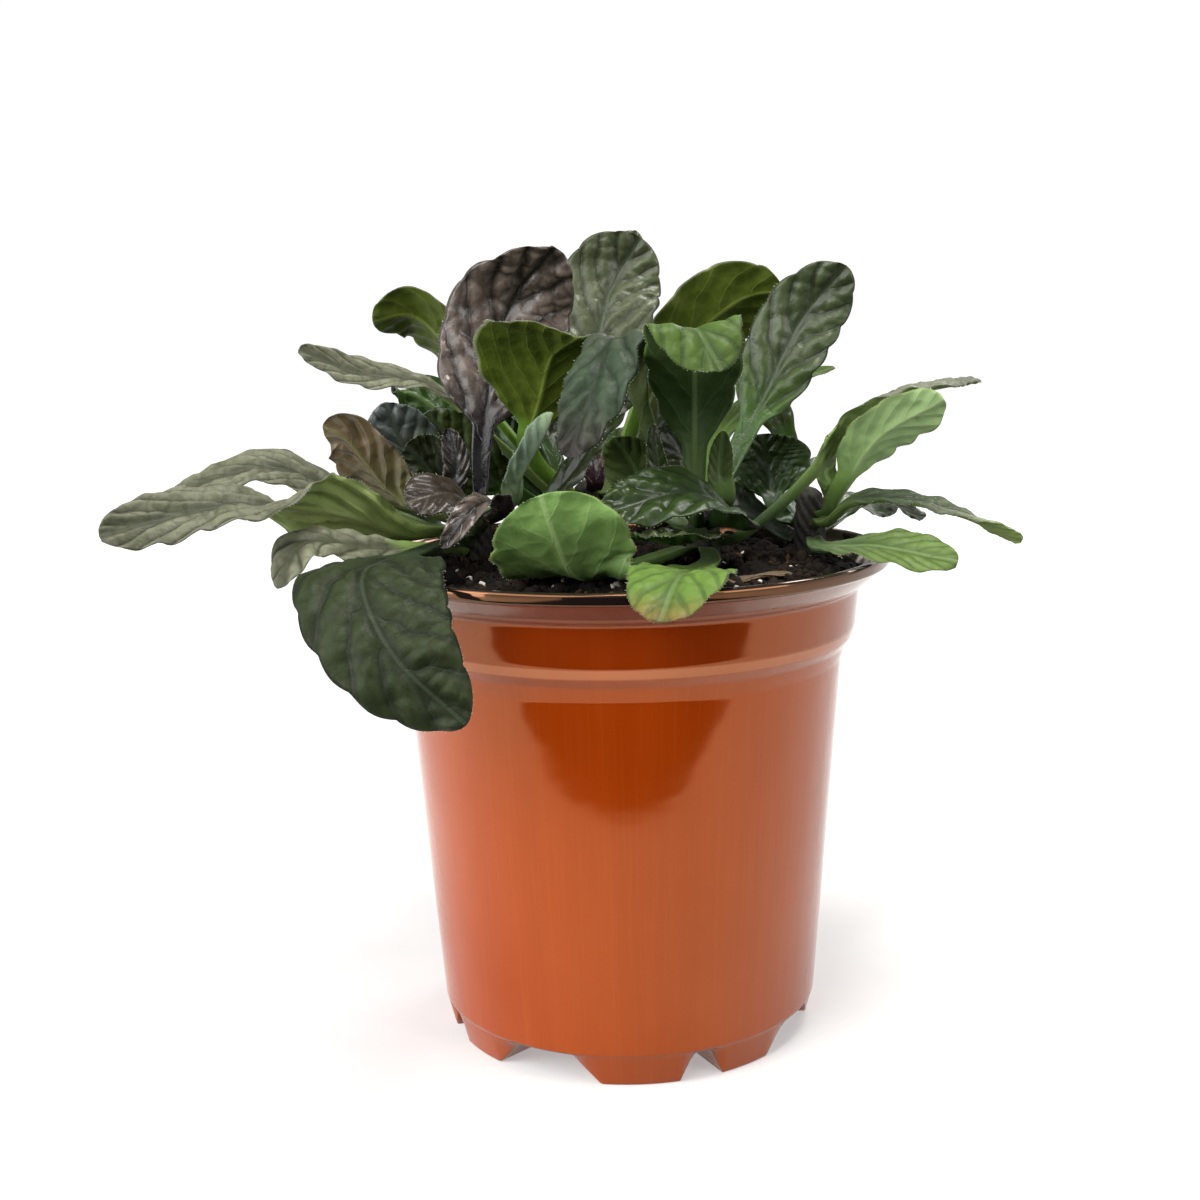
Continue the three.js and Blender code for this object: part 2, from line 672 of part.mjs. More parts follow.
function makeLeaf(crown, leaf) {
  const curve = leafCurve(crown, leaf.tier, leaf.path);
  const rollAt = rollAlong(curve, leaf.roll);
  const start = curve.points[0];
  const end = curve.points[curve.points.length - 1];
  const straight = Math.atan2(end.y - start.y, end.x - start.x);
  const lean = leaf.heading === undefined ? straight : radians(leaf.heading);
  const heading = new THREE.Vector3(Math.cos(lean), Math.sin(lean), 0);
  const level = new THREE.Vector3(heading.y, -heading.x, 0);
  const [halves, folds, curls] = [leaf.half, leaf.fold, leaf.curl].map(bothSides);
  const rings = leafStations(leaf.stalk).map((at) => {
    const centre = curve.getPointAt(at);
    const along = curve.getTangentAt(at);
    const side = level.clone().addScaledVector(along, -level.dot(along)).normalize();
    const up = new THREE.Vector3().crossVectors(side, along);
    const roll = rollAt(at);
    const across = side.clone().multiplyScalar(Math.cos(roll)).addScaledVector(up, Math.sin(roll));
    const normal = up.clone().multiplyScalar(Math.cos(roll)).addScaledVector(side, -Math.sin(roll));
    const b = THREE.MathUtils.clamp((at - leaf.stalk) / (1 - leaf.stalk), 0, 1);
    const stalk = mix(...LEAF.stalkHalf, Math.min(1, at / leaf.stalk));
    const broad = Math.min(1, b / LEAF.thinning);
    const thickness = mix(LEAF.stalkThickness, LEAF.bladeThickness, broad);
    const point = (u, face) => {
      const hand = u < 0 ? 0 : 1;
      const share = Math.abs(u);
      const fold = broad * radians(folds[hand]);
      const curl = broad * radians(curls[hand]);
      const spread = (halves[hand] - stalk) * bladeOutline(b, leaf.shape ?? LEAF.shape);
      const width = stalk * Math.sqrt(1 - b) + spread;
      const [sideways, rise] = sideOffset(width, share, fold, curl);
      const phase = LEAF.waves * at + LEAF.waveLag * hand + leaf.tier;
      const wave = broad * LEAF.wave * share * share * Math.sin(phase);
      const half = face * (thickness / 2) * Math.sqrt(1 - share ** 3);
      return centre.clone()
        .addScaledVector(across, u < 0 ? -sideways : sideways)
        .addScaledVector(normal, rise + wave + half);
    };
    return [
      point(-1, 0), point(-0.5, 1), point(0, 1), point(0.5, 1),
      point(1, 0), point(0.5, -1), point(0, -1), point(-0.5, -1),
    ];
  });
  return skinRings(start.clone(), rings, end.clone(), true);
}

function makeWithered() {
  const { path, half, thickness, lift, taper } = WITHERED;
  const rise = GAP + thickness / 2 + lift;
  const lying = path.map(([x, y]) => new THREE.Vector3(x, y, soilHeight(x, y) + rise));
  const curve = new THREE.CatmullRomCurve3(lying);
  const rings = taper.map((width, k) => {
    const at = k / (taper.length - 1);
    const along = curve.getTangentAt(at);
    const across = new THREE.Vector3(along.y, -along.x, 0).normalize();
    return Array.from({ length: 8 }, (_, corner) => {
      const turn = radians(45 * corner);
      return curve.getPointAt(at)
        .addScaledVector(across, -half * width * Math.cos(turn))
        .add(new THREE.Vector3(0, 0, (thickness / 2) * width * Math.sin(turn)));
    });
  });
  return skinRings(lying[0], rings, lying[lying.length - 1]);
}

// The whole plant

const plant = new THREE.Group();
plant.name = 'potted_bugleweed';

plant.add(named('pot', makePot(), COLOURS.pot));

const rootHoles = Object.values(CROWNS).map((place) => solidFrom(makeCrown(place, GAP)));
plant.add(named('potting_soil', makeSoil(rootHoles), COLOURS.soil));

for (const [side, place] of Object.entries(CROWNS)) {
  plant.add(named(`${side}_crown`, makeCrown(place), COLOURS.crown));
}

for (const [name, leaf] of Object.entries(LEAVES)) {
  const crown = CROWNS[name.split('_')[0]];
  plant.add(named(name, makeLeaf(crown, leaf), COLOURS[leaf.tone]));
}

plant.add(named('withered_stalk', makeWithered(), COLOURS.withered));

export default plant;
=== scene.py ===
"""A bugleweed plant in its round plastic nursery pot, dressed for a studio picture.

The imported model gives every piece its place. Here each leaf, crown, the soil and the pot get their
fine surface. Sizes in the classes are millimetres, +Z is up, and -Y is the front of the plant.
"""
import sys
import logging
import math
from dataclasses import dataclass, field
from enum import Enum
from functools import partial
from typing import Any, Sequence

import bpy
import numpy as np
from mathutils import Matrix, Vector


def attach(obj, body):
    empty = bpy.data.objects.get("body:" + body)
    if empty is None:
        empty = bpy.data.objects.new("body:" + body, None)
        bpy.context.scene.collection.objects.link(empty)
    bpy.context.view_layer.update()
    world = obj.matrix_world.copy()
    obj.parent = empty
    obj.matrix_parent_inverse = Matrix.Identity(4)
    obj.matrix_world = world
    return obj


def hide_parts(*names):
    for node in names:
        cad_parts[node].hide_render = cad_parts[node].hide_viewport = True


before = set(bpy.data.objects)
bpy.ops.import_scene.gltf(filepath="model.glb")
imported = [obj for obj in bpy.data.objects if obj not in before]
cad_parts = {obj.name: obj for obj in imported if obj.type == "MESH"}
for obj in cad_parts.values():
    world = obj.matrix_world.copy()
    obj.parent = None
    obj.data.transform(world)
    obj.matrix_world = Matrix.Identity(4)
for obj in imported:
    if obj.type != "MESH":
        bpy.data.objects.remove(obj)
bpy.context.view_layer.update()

MM = 0.001  # metres in a millimetre
BODY = "root"

log = logging.getLogger("bugleweed")

Point = tuple[float, float, float]
Pair = tuple[float, float]
Socket = bpy.types.NodeSocket
Tree = bpy.types.NodeTree


@dataclass(frozen=True)
class Kind:
    """A kind of node: its type and settings, the inputs that values fill in turn, and its output."""

    type: str
    settings: dict[str, Any] = field(default_factory=dict)
    slots: Sequence[Any] = range(9)
    output: Any = 0


PLUS, MINUS, TIMES, TIMES_PLUS, LARGER, BELOW, ABOVE, SIZE, ZIGZAG, ROUND, DEGREES, SINE, COSINE = (
    Kind("ShaderNodeMath", {"operation": word}) for word in (
        "ADD", "SUBTRACT", "MULTIPLY", "MULTIPLY_ADD", "MAXIMUM", "LESS_THAN", "GREATER_THAN",
        "ABSOLUTE", "PINGPONG", "ROUND", "DEGREES", "SINE", "COSINE"))
VECTOR_PLUS, VECTOR_MINUS, VECTOR_TIMES, VECTOR_TIMES_PLUS, UNIT_VECTOR = (
    Kind("ShaderNodeVectorMath", {"operation": word}) for word in (
        "ADD", "SUBTRACT", "MULTIPLY", "MULTIPLY_ADD", "NORMALIZE"))
STRETCHED = Kind("ShaderNodeVectorMath", {"operation": "SCALE"}, (0, "Scale"))
LENGTH = Kind("ShaderNodeVectorMath", {"operation": "LENGTH"}, output="Value")
RAMP = Kind("ShaderNodeMapRange")
SMOOTH_RAMP = Kind("ShaderNodeMapRange", {"interpolation_type": "SMOOTHSTEP"})
BLEND = Kind("ShaderNodeMix", {"data_type": "RGBA"}, (0, 6, 7), 2)
NOISE = Kind("ShaderNodeTexNoise")
CELLS = Kind("ShaderNodeTexVoronoi", output="Distance")
PLACE = Kind("ShaderNodeTexCoord", output="Object")
MARK = Kind("ShaderNodeAttribute", output="Fac")
BUMP = Kind("ShaderNodeBump", output="Normal")
JOIN_XYZ = Kind("ShaderNodeCombineXYZ")
SPLIT_XYZ = Kind("ShaderNodeSeparateXYZ")
STORED = Kind("GeometryNodeInputNamedAttribute", {"data_type": "FLOAT"})
STORED_VECTOR = Kind("GeometryNodeInputNamedAttribute", {"data_type": "FLOAT_VECTOR"})
RANDOM = Kind("FunctionNodeRandomValue", {"data_type": "FLOAT"}, (2, 3), 1)
RANDOM_VECTOR = Kind("FunctionNodeRandomValue", {"data_type": "FLOAT_VECTOR"})


# Helpers for colours, nodes and meshes


def linear(hex_value: str) -> tuple[float, float, float, float]:
    """Turns an sRGB hex value into the linear colour that shaders work with.

    Args:
        hex_value: A colour such as "#33452f".

    Returns:
        Red, green, blue and an alpha of 1.
    """
    parts = [int(hex_value[k:k + 2], 16) / 255 for k in (1, 3, 5)]
    red, green, blue = (p / 12.92 if p <= 0.04045 else ((p + 0.055) / 1.055) ** 2.4 for p in parts)
    return red, green, blue, 1.0


def per_metre(millimetres: float) -> float:
    """Scale of a pattern on places in metres, from the size of its features in millimetres."""
    return 1 / (millimetres * MM)


def fill(node: bpy.types.Node, inputs: dict[Any, Any]) -> None:
    """Gives a node's inputs their values and links.

    Args:
        node: The node.
        inputs: A value or a socket for each input, by its number or its name with _ for a space.
    """
    for name, value in inputs.items():
        socket = node.inputs[name.replace("_", " ") if isinstance(name, str) else name]
        if isinstance(value, bpy.types.NodeSocket):
            node.id_data.links.new(value, socket)
        else:
            socket.default_value = value


def add(tree: Tree, kind: Kind | str, *values: Any, output: Any = None, **named: Any) -> Socket:
    """Adds one node to a tree, with its settings, its values and its links.

    Args:
        tree: The shader or geometry tree.
        kind: The node's kind.
        *values: Values or sockets for the kind's own inputs, in turn.
        output: Name or number of the output to hand back, where it isn't the kind's own.
        **named: Other inputs by name, and the node's settings, whose names are all small letters.

    Returns:
        The chosen output.
    """
    kind = Kind(kind) if isinstance(kind, str) else kind
    node = tree.nodes.new(kind.type)
    settings = {name: value for name, value in named.items() if name.islower()}
    for name, value in {**kind.settings, **settings}.items():
        setattr(node, name, value)
    inputs = {name: value for name, value in named.items() if name not in settings}
    fill(node, {**dict(zip(kind.slots, values)), **inputs})
    return node.outputs[kind.output if output is None else output] if node.outputs else None


def layered(tree: Tree, base: Any, *layers: tuple[Any, Any, float]) -> Any:
    """Lays colours over a base, each as far as its share says.

    Args:
        tree: The material's tree.
        base: The colour underneath, as a hex value or a socket.
        *layers: Each layer's colour, the share that it covers, and what that share is multiplied by.

    Returns:
        The mixed colour.
    """
    for colour, share, strength in layers:
        if strength != 1:
            share = add(tree, TIMES, share, strength)
        low, high = (linear(part) if isinstance(part, str) else part for part in (base, colour))
        base = add(tree, BLEND, share, low, high)
    return base


def new_geometry_tree(name: str, inputs: dict[str, tuple[str, Any]]) -> tuple[Tree, dict[str, Socket]]:
    """Starts a Geometry Nodes tree with named inputs.

    Args:
        name: The tree's name.
        inputs: Each input's name with its socket kind, such as "Float", and its first value.

    Returns:
        The tree and the outputs of its group input, by name.
    """
    tree = bpy.data.node_groups.new(name, "GeometryNodeTree")
    for way in ("INPUT", "OUTPUT"):
        tree.interface.new_socket("Geometry", in_out=way, socket_type="NodeSocketGeometry")
    for label, (kind, value) in inputs.items():
        socket = tree.interface.new_socket(label, in_out="INPUT", socket_type=f"NodeSocket{kind}")
        if value is not None:
            socket.default_value = value
    start = tree.nodes.new("NodeGroupInput")
    return tree, {socket.name: socket for socket in start.outputs if socket.name}


def made_real(tree: Tree, instances: Socket, material: Socket) -> Socket:
    """Ends a branch of a tree: turns its instances into faces and gives them their material."""
    real = add(tree, "GeometryNodeRealizeInstances", instances)
    return add(tree, "GeometryNodeSetMaterial", Geometry=real, Material=material)


def grow(piece: bpy.types.Object, tree: Tree, values: dict[str, Any]) -> None:
    """Runs a Geometry Nodes tree on a piece and keeps the result as the piece's plain mesh.

    Args:
        piece: The object, whose mesh is the tree's input.
        tree: The tree.
        values: The tree's inputs by name.
    """
    modifier = piece.modifiers.new(tree.name, "NODES")
    modifier.node_group = tree
    sockets = {s.name: s.identifier for s in tree.interface.items_tree
               if s.item_type == "SOCKET" and s.in_out == "INPUT"}
    for name, value in values.items():
        modifier[sockets[name]] = value
    depsgraph = bpy.context.evaluated_depsgraph_get()
    grown = bpy.data.meshes.new_from_object(
        piece.evaluated_get(depsgraph), preserve_all_data_layers=True, depsgraph=depsgraph)
    piece.modifiers.clear()
    bare = piece.data
    piece.data = grown
    grown.name = piece.name
    bpy.data.meshes.remove(bare)


def new_piece(
    name: str, points: np.ndarray, faces: Sequence[Sequence[int]],
    values: dict[str, np.ndarray] | None = None,
) -> bpy.types.Object:
    """Makes a smooth mesh object at the origin.

    Args:
        name: The piece's name.
        points: Its points in millimetres, one row each.
        faces: The corners of each face, by point number.
        values: Values at the points, kept as attributes: one number, three or four for each point.

    Returns:
        The object, linked to the scene.
    """
    mesh = bpy.data.meshes.new(name)
    mesh.from_pydata((np.asarray(points) * MM).tolist(), [], faces)
    mesh.shade_smooth()
    kinds = {1: ("FLOAT", "value"), 3: ("FLOAT_VECTOR", "vector"), 4: ("FLOAT_COLOR", "color")}
    for label, numbers in (values or {}).items():
        numbers = np.asarray(numbers, dtype=np.float32)
        kind, slot = kinds[numbers.shape[1] if numbers.ndim == 2 else 1]
        mesh.attributes.new(label, kind, "POINT").data.foreach_set(slot, numbers.ravel())
    piece = bpy.data.objects.new(name, mesh)
    bpy.context.scene.collection.objects.link(piece)
    return piece


def face_outwards(piece: bpy.types.Object) -> None:
    """Turns a closed mesh right way out if it encloses a negative volume.

    Args:
        piece: The object with the mesh.
    """
    mesh = piece.data
    mesh.calc_loop_triangles()
    corners = np.zeros(len(mesh.loop_triangles) * 3, dtype=np.int32)
    mesh.loop_triangles.foreach_get("vertices", corners)
    places = np.zeros(len(mesh.vertices) * 3, dtype=np.float64)
    mesh.vertices.foreach_get("co", places)
    a, b, c = places.reshape(-1, 3)[corners.reshape(-1, 3)].transpose(1, 0, 2)
    if np.einsum("ij,ij->", a, np.cross(b, c)) < 0:
        mesh.flip_normals()


def finish_piece(piece: bpy.types.Object, slot: str, *nodes: str) -> None:
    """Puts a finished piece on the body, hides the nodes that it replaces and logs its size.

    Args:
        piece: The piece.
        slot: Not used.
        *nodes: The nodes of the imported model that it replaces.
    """
    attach(piece, BODY)
    if nodes:
        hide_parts(*nodes)
    log.info("%s: %d points, %d faces", piece.name, len(piece.data.vertices), len(piece.data.polygons))


def ring_faces(rings: int, around: int) -> list[tuple[int, ...]]:
    """Faces of a closed skin whose points are a first one, rings of points and a last one.

    Args:
        rings: How many rings there are.
        around: How many points a ring has.

    Returns:
        Squares between the rings and triangles at both ends, facing outwards where the rings run
        clockwise seen from the last point.
    """
    k = np.arange(around)
    after = (k + 1) % around
    first = 1 + np.arange(rings)[:, None] * around
    squares = np.stack([first[:-1] + k, first[:-1] + after, first[1:] + after, first[1:] + k], -1)
    last = 1 + rings * around
    start = [(0, 1 + q, 1 + p) for p, q in zip(k.tolist(), after.tolist())]
    end = [(last, last - around + p, last - around + q) for p, q in zip(k.tolist(), after.tolist())]
    return [*map(tuple, squares.reshape(-1, 4).tolist()), *start, *end]


def round_turn(steps: int) -> np.ndarray:
    """Angles of so many even steps round a circle, in radians."""
    return np.arange(steps) * 2 * math.pi / steps


def smoothstep(value: np.ndarray, low: float, high: float) -> np.ndarray:
    """Rises smoothly from 0 at low to 1 at high."""
    share = np.clip((value - low) / (high - low), 0, 1)
    return share * share * (3 - 2 * share)


def both_sides(value: float | Pair) -> np.ndarray:
    """The left and the right value of a size that may be one number for both."""
    return np.array(value if isinstance(value, tuple) else (value, value), dtype=float)


# Finishes


class Material:
    """A named material that is being built, with its tree, its shader and its output node."""

    def __init__(self, name: str) -> None:
        """Makes the material with a bare shader.

        Args:
            name: What the real material is and how it was made.
        """
        self.made = bpy.data.materials.new(name)
        self.made.use_nodes = True
        self.tree = self.made.node_tree
        self.tree.nodes.clear()
        self.shader = self.tree.nodes.new("ShaderNodeBsdfPrincipled")
        self.end = self.tree.nodes.new("ShaderNodeOutputMaterial")
        fill(self.end, {"Surface": self.shader.outputs[0]})

    def set(self, **values: Any) -> None:
        """Sets or links the shader's sockets, named with _ for each space."""
        fill(self.shader, values)


class Venation:
    """The pattern of veins in a blade, drawn alike in its relief and in its finish.

    The lateral veins lie where the rank is a whole number, bent a little by a slow noise, and the
    fine net between them is a mesh of cells. All of its places are millimetres on the blade.
    """

    BEND = 5.9  # millimetres from one bend of a lateral vein to the next
    BENT = 0.5  # how far it bends, as a share of the spacing
    WARP = 2.9  # millimetres from one bend of the net to the next
    WARPED = 1.6  # millimetres that the net is pushed

    def __init__(self, tree: Tree, across: Socket, along: Socket, rank: Socket, meshes: Any) -> None:
        """Adds the pattern's nodes to a tree.

        Args:
            tree: A shader or geometry tree.
            across: Millimetres from the midrib, to the right.
            along: Millimetres from the blade's start.
            rank: Number of the lateral vein at this place.
            meshes: How many meshes of the net there are in a millimetre, as a number or a socket.
        """
        put = partial(add, tree)
        self.place = put(JOIN_XYZ, across, along)
        self.from_midrib = put(SIZE, across)
        wobble = put(NOISE, Vector=self.place, Scale=1 / self.BEND, Detail=1.0)
        self.lateral = put(ZIGZAG, put(TIMES_PLUS, wobble, self.BENT, rank), 0.5)
        warp = put(NOISE, output="Color", Vector=self.place, Scale=1 / self.WARP, Detail=1.0)
        pushed = put(VECTOR_TIMES_PLUS, warp, (self.WARPED, self.WARPED, 0.0), self.place)
        self.net = put(CELLS, feature="DISTANCE_TO_EDGE", Vector=pushed, Scale=meshes)


@dataclass(frozen=True)
class LeafFinish:
    """Living leaf tissue of one tone, with its waxy skin and sunken veins.

    The upper face is quilted: the hollows along the veins are darker than the ridges between them, partly
    the leaf's own colour and partly painted shade.
    The underside is paler, with raised veins. Widths are millimetres, or shares of the vein spacing.
    """

    name: str
    ridge: str  # upper face between the veins
    hollow: str  # upper face along the veins, darker partly as painted shade
    blotch: str  # upper face, in cloudy patches
    vein: str  # upper face, the thin lines of the veins themselves
    under: str
    under_blotch: str
    under_vein: str
    stalk: str
    rim: str
    glow: str  # light that comes through the blade
    relief: Pair  # height of the quilting and of the net
    roughness: Pair = (0.3, 0.5)
    gloss: float = 0.35
    vein_strength: float = 0.5
    net_strength: float = 0.22
    wax: float = 0.15
    fuzz: float = 0.03
    light_through: float = 0.2
    midrib_half: Pair = (0.3, 0.8)  # where its line starts to fade, and where it ends
    trough_half: float = 3.2  # dark hollow beside the midrib
    vein_half: float = 0.07  # share of the vein spacing
    hollow_half: float = 0.24  # share of the vein spacing
    thread_half: float = 0.2  # share of a mesh of the net
    cell: float = 4.2  # millimetres across a mesh of the fine net
    cloud: float = 7.7  # millimetres across a blotch
    dull_patch: float = 2.2  # millimetres across a patch of duller wax
    grain: float = 0.28  # millimetres across a cell of the skin, drawn twice as coarse to show

    def build(self) -> bpy.types.Material:
        """Builds the material.

        Returns:
            The finished material.
        """
        material = Material(self.name)
        tree = material.tree
        put = partial(add, tree)
        across, along, rank, rim, side, blade = (
            put(MARK, attribute_name=label) for label in ("across", "along", "rank", "rim", "side", "blade"))
        lines = Venation(tree, across, along, rank, 1 / self.cell)
        lateral, hollow, net, midrib, by_midrib = (
            put(SMOOTH_RAMP, line, near, far, 1.0, 0.0) for line, near, far in (
                (lines.lateral, 0.0, self.vein_half), (lines.lateral, 0.0, self.hollow_half),
                (lines.net, 0.0, self.thread_half), (lines.from_midrib, *self.midrib_half),
                (lines.from_midrib, 0.0, self.trough_half)))
        hollow_shade = put(LARGER, hollow, by_midrib)
        drawn = put(LARGER, put(TIMES, lateral, 0.35), midrib)
        cloud = put(NOISE, Vector=lines.place, Scale=1 / self.cloud, Detail=4.0, Roughness=0.62)
        patches = put(SMOOTH_RAMP, cloud, 0.47, 0.66, 0.0, 1.0)
        # The hollows and the threads of the net take the darker hollow colour: partly the leaf's own colour,
        # partly painted shade in the creases
        upper = layered(
            tree, self.ridge, (self.hollow, hollow_shade, 0.72), (self.blotch, patches, 0.6),
            (self.hollow, net, self.net_strength), (self.vein, drawn, self.vein_strength))
        under = layered(
            tree, self.under, (self.under_blotch, patches, 0.7), (self.under_vein, net, 0.1),
            (self.under_vein, drawn, 0.75))

        is_upper = put(RAMP, side, -0.2, 0.2, 0.0, 1.0)
        face = layered(tree, under, (upper, is_upper, 1))
        edge = put(SMOOTH_RAMP, rim, 0.93, 1.0, 0.0, 0.7)
        colour = layered(tree, self.stalk, (face, blade, 1), (self.rim, edge, 1))
        # A tinted stretch keeps its veins: its hollows are darker and its ridges a little lighter, as
        # painted shade and light of the relief, and its lines are drawn over it
        tint = put(MARK, output="Color", attribute_name="tint")
        relief_shade = put(TIMES, put(TIMES_PLUS, net, 0.35, hollow_shade), is_upper)
        tinted = put(STRETCHED, tint, put(RAMP, relief_shade, 0.0, 1.3, 1.15, 0.5))
        line = layered(tree, self.under_vein, (self.vein, is_upper, 1))
        tinted = layered(tree, tinted, (line, drawn, 0.7 * self.vein_strength))
        colour = layered(tree, colour, (tinted, tint.node.outputs["Alpha"], 1))
        # The value darkens the finish as painted shade towards the crown and on leaves deep in the rosette
        value = put(MARK, attribute_name="value")
        colour = put("ShaderNodeHueSaturation", Value=value, Color=colour)

        grain = put(NOISE, Vector=lines.place, Scale=0.5 / self.grain, Detail=2.0)
        wax = put(NOISE, Vector=lines.place, Scale=1 / self.dull_patch, Detail=3.0)
        roughness = put(RAMP, wax, 0.35, 0.65, *self.roughness)
        sunken = put(TIMES, put(TIMES_PLUS, net, 0.35, lateral), side)
        bump = put(BUMP, Height=put(MINUS, grain, sunken), Strength=0.3, Distance=0.3 * MM)
        material.set(Base_Color=colour, Roughness=roughness, Normal=bump, IOR=1.45,
                     Specular_IOR_Level=self.gloss, Coat_Weight=self.wax,
                     Coat_Roughness=0.22, Sheen_Weight=self.fuzz, Sheen_Roughness=0.4,
                     Sheen_Tint=linear("#dfe0d8"))
        glow = layered(tree, colour, (self.glow, 0.6, 1))
        through = put("ShaderNodeBsdfTranslucent", Color=glow, Normal=bump)
        both = put("ShaderNodeMixShader", self.light_through, material.shader.outputs[0], through)
        fill(material.end, {"Surface": both})
        return material.made


class Tone(Enum):
    """The tones of the leaves. Each value starts with a short name for the tone."""

    DARK = "leaf_dark"
    MATT = "leaf_dark, matt"
    GREY = "leaf_grey"
    BRIGHT = "leaf_bright"
    OLIVE = "leaf_olive"
    PURPLE = "leaf_purple"
    BRONZE = "leaf_bronze"


LEAF_FINISHES = {
    # Satin dark green leaf: grey-green light on the ridges, near-black green in the hollows, partly painted
    # shade
    Tone.DARK: LeafFinish(
        "leaf, satin dark green", ridge="#364219", hollow="#101808", blotch="#243010", vein="#4c5c3e",
        under="#33501c", under_blotch="#223a12", under_vein="#5f7c40", stalk="#36521f", rim="#141a0e",
        glow="#4a6f18", relief=(0.85, 0.6), roughness=(0.27, 0.42), gloss=0.27, vein_strength=0.3,
        light_through=0.08),
    # Matt dark green leaf: a soft grey-green sheen without highlights, and a pale midrib
    Tone.MATT: LeafFinish(
        "leaf, matt dark green", ridge="#3b4727", hollow="#111908", blotch="#283319", vein="#57654a",
        under="#33501c", under_blotch="#223a12", under_vein="#5f7c40", stalk="#3c5824", rim="#1c2415",
        glow="#4a6f18", relief=(1.0, 0.8), roughness=(0.44, 0.6), gloss=0.16, vein_strength=0.4, wax=0.0,
        fuzz=0.05, light_through=0.05, midrib_half=(0.2, 0.6)),
    # Grey-green leaf with a satin bloom: short hairs scatter light and make it look dusty
    Tone.GREY: LeafFinish(
        "leaf, grey-green with satin bloom", ridge="#72745f", hollow="#0c1007", blotch="#444830",
        vein="#5d614f", under="#8a9f5c", under_blotch="#6b8145", under_vein="#6f7745", stalk="#6f8547",
        rim="#6b6a5f", glow="#7a8f48", relief=(1.5, 0.5), roughness=(0.42, 0.58), gloss=0.17,
        vein_strength=0.2, net_strength=0.28, wax=0.02, light_through=0.05),
    # Young bright green leaf: thin, so light shows through it
    Tone.BRIGHT: LeafFinish(
        "leaf, thin bright green", ridge="#5e703b", hollow="#34491f", blotch="#475c2b", vein="#7f9a60",
        under="#5f7a42", under_blotch="#4a6630", under_vein="#93a872", stalk="#617c3e", rim="#6f7240",
        glow="#6b8c3c", relief=(0.55, 0.3), roughness=(0.44, 0.58), gloss=0.14,
        vein_strength=0.45, wax=0.05, light_through=0.16),
    # Olive green leaf seen from below, lit from behind
    Tone.OLIVE: LeafFinish(
        "leaf, olive green", ridge="#454c38", hollow="#232b19", blotch="#343c28", vein="#5a624a",
        under="#384312", under_blotch="#28320c", under_vein="#5c6a2c", stalk="#46601f", rim="#5b5b4e",
        glow="#5c7a14", relief=(0.6, 0.2), roughness=(0.4, 0.55), gloss=0.13,
        vein_strength=0.3, wax=0.05, light_through=0.16),
    # Purple-brown leaf: a strongly quilted, lacquer-bright skin
    Tone.PURPLE: LeafFinish(
        "leaf, lacquered purple-brown", ridge="#6e6158", hollow="#0a0606", blotch="#2f2623", vein="#0b0808",
        under="#32292c", under_blotch="#221b1d", under_vein="#51403f", stalk="#26161b", rim="#49423e",
        glow="#3a241a", relief=(1.2, 1.0), roughness=(0.17, 0.3), gloss=0.4, vein_strength=0.7, wax=0.2,
        light_through=0.03, cell=4.8, net_strength=0.5),
    # Bronze leaf: brown over green, with a coppery sheen
    Tone.BRONZE: LeafFinish(
        "leaf, bronze over green", ridge="#4a3d2e", hollow="#1d160e", blotch="#352b20", vein="#5f5038",
        under="#5f6b3c", under_blotch="#475430", under_vein="#7a8450", stalk="#5a683a", rim="#2b231b",
        glow="#5a5020", relief=(0.8, 0.5), roughness=(0.28, 0.44), vein_strength=0.3, wax=0.2,
        light_through=0.08),
}


@dataclass(frozen=True)
class LeafHair:
    """Fine pale hairs of the leaf margins: a soft outline against the light."""

    name: str = "leaf hair, pale and translucent"
    dark: str = "#aeb59c"
    light: str = "#dfe2d4"
    patch: float = 1.1  # millimetres across a patch of one tone

    def build(self) -> bpy.types.Material:
        """Builds the material.

        Returns:
            The finished material.
        """
        material = Material(self.name)
        tint = add(material.tree, NOISE, Scale=per_metre(self.patch), Detail=1.0)
        colour = layered(material.tree, self.dark, (self.light, tint, 1))
        material.set(Base_Color=colour, Roughness=0.55, IOR=1.5, Sheen_Weight=0.3)
        return material.made


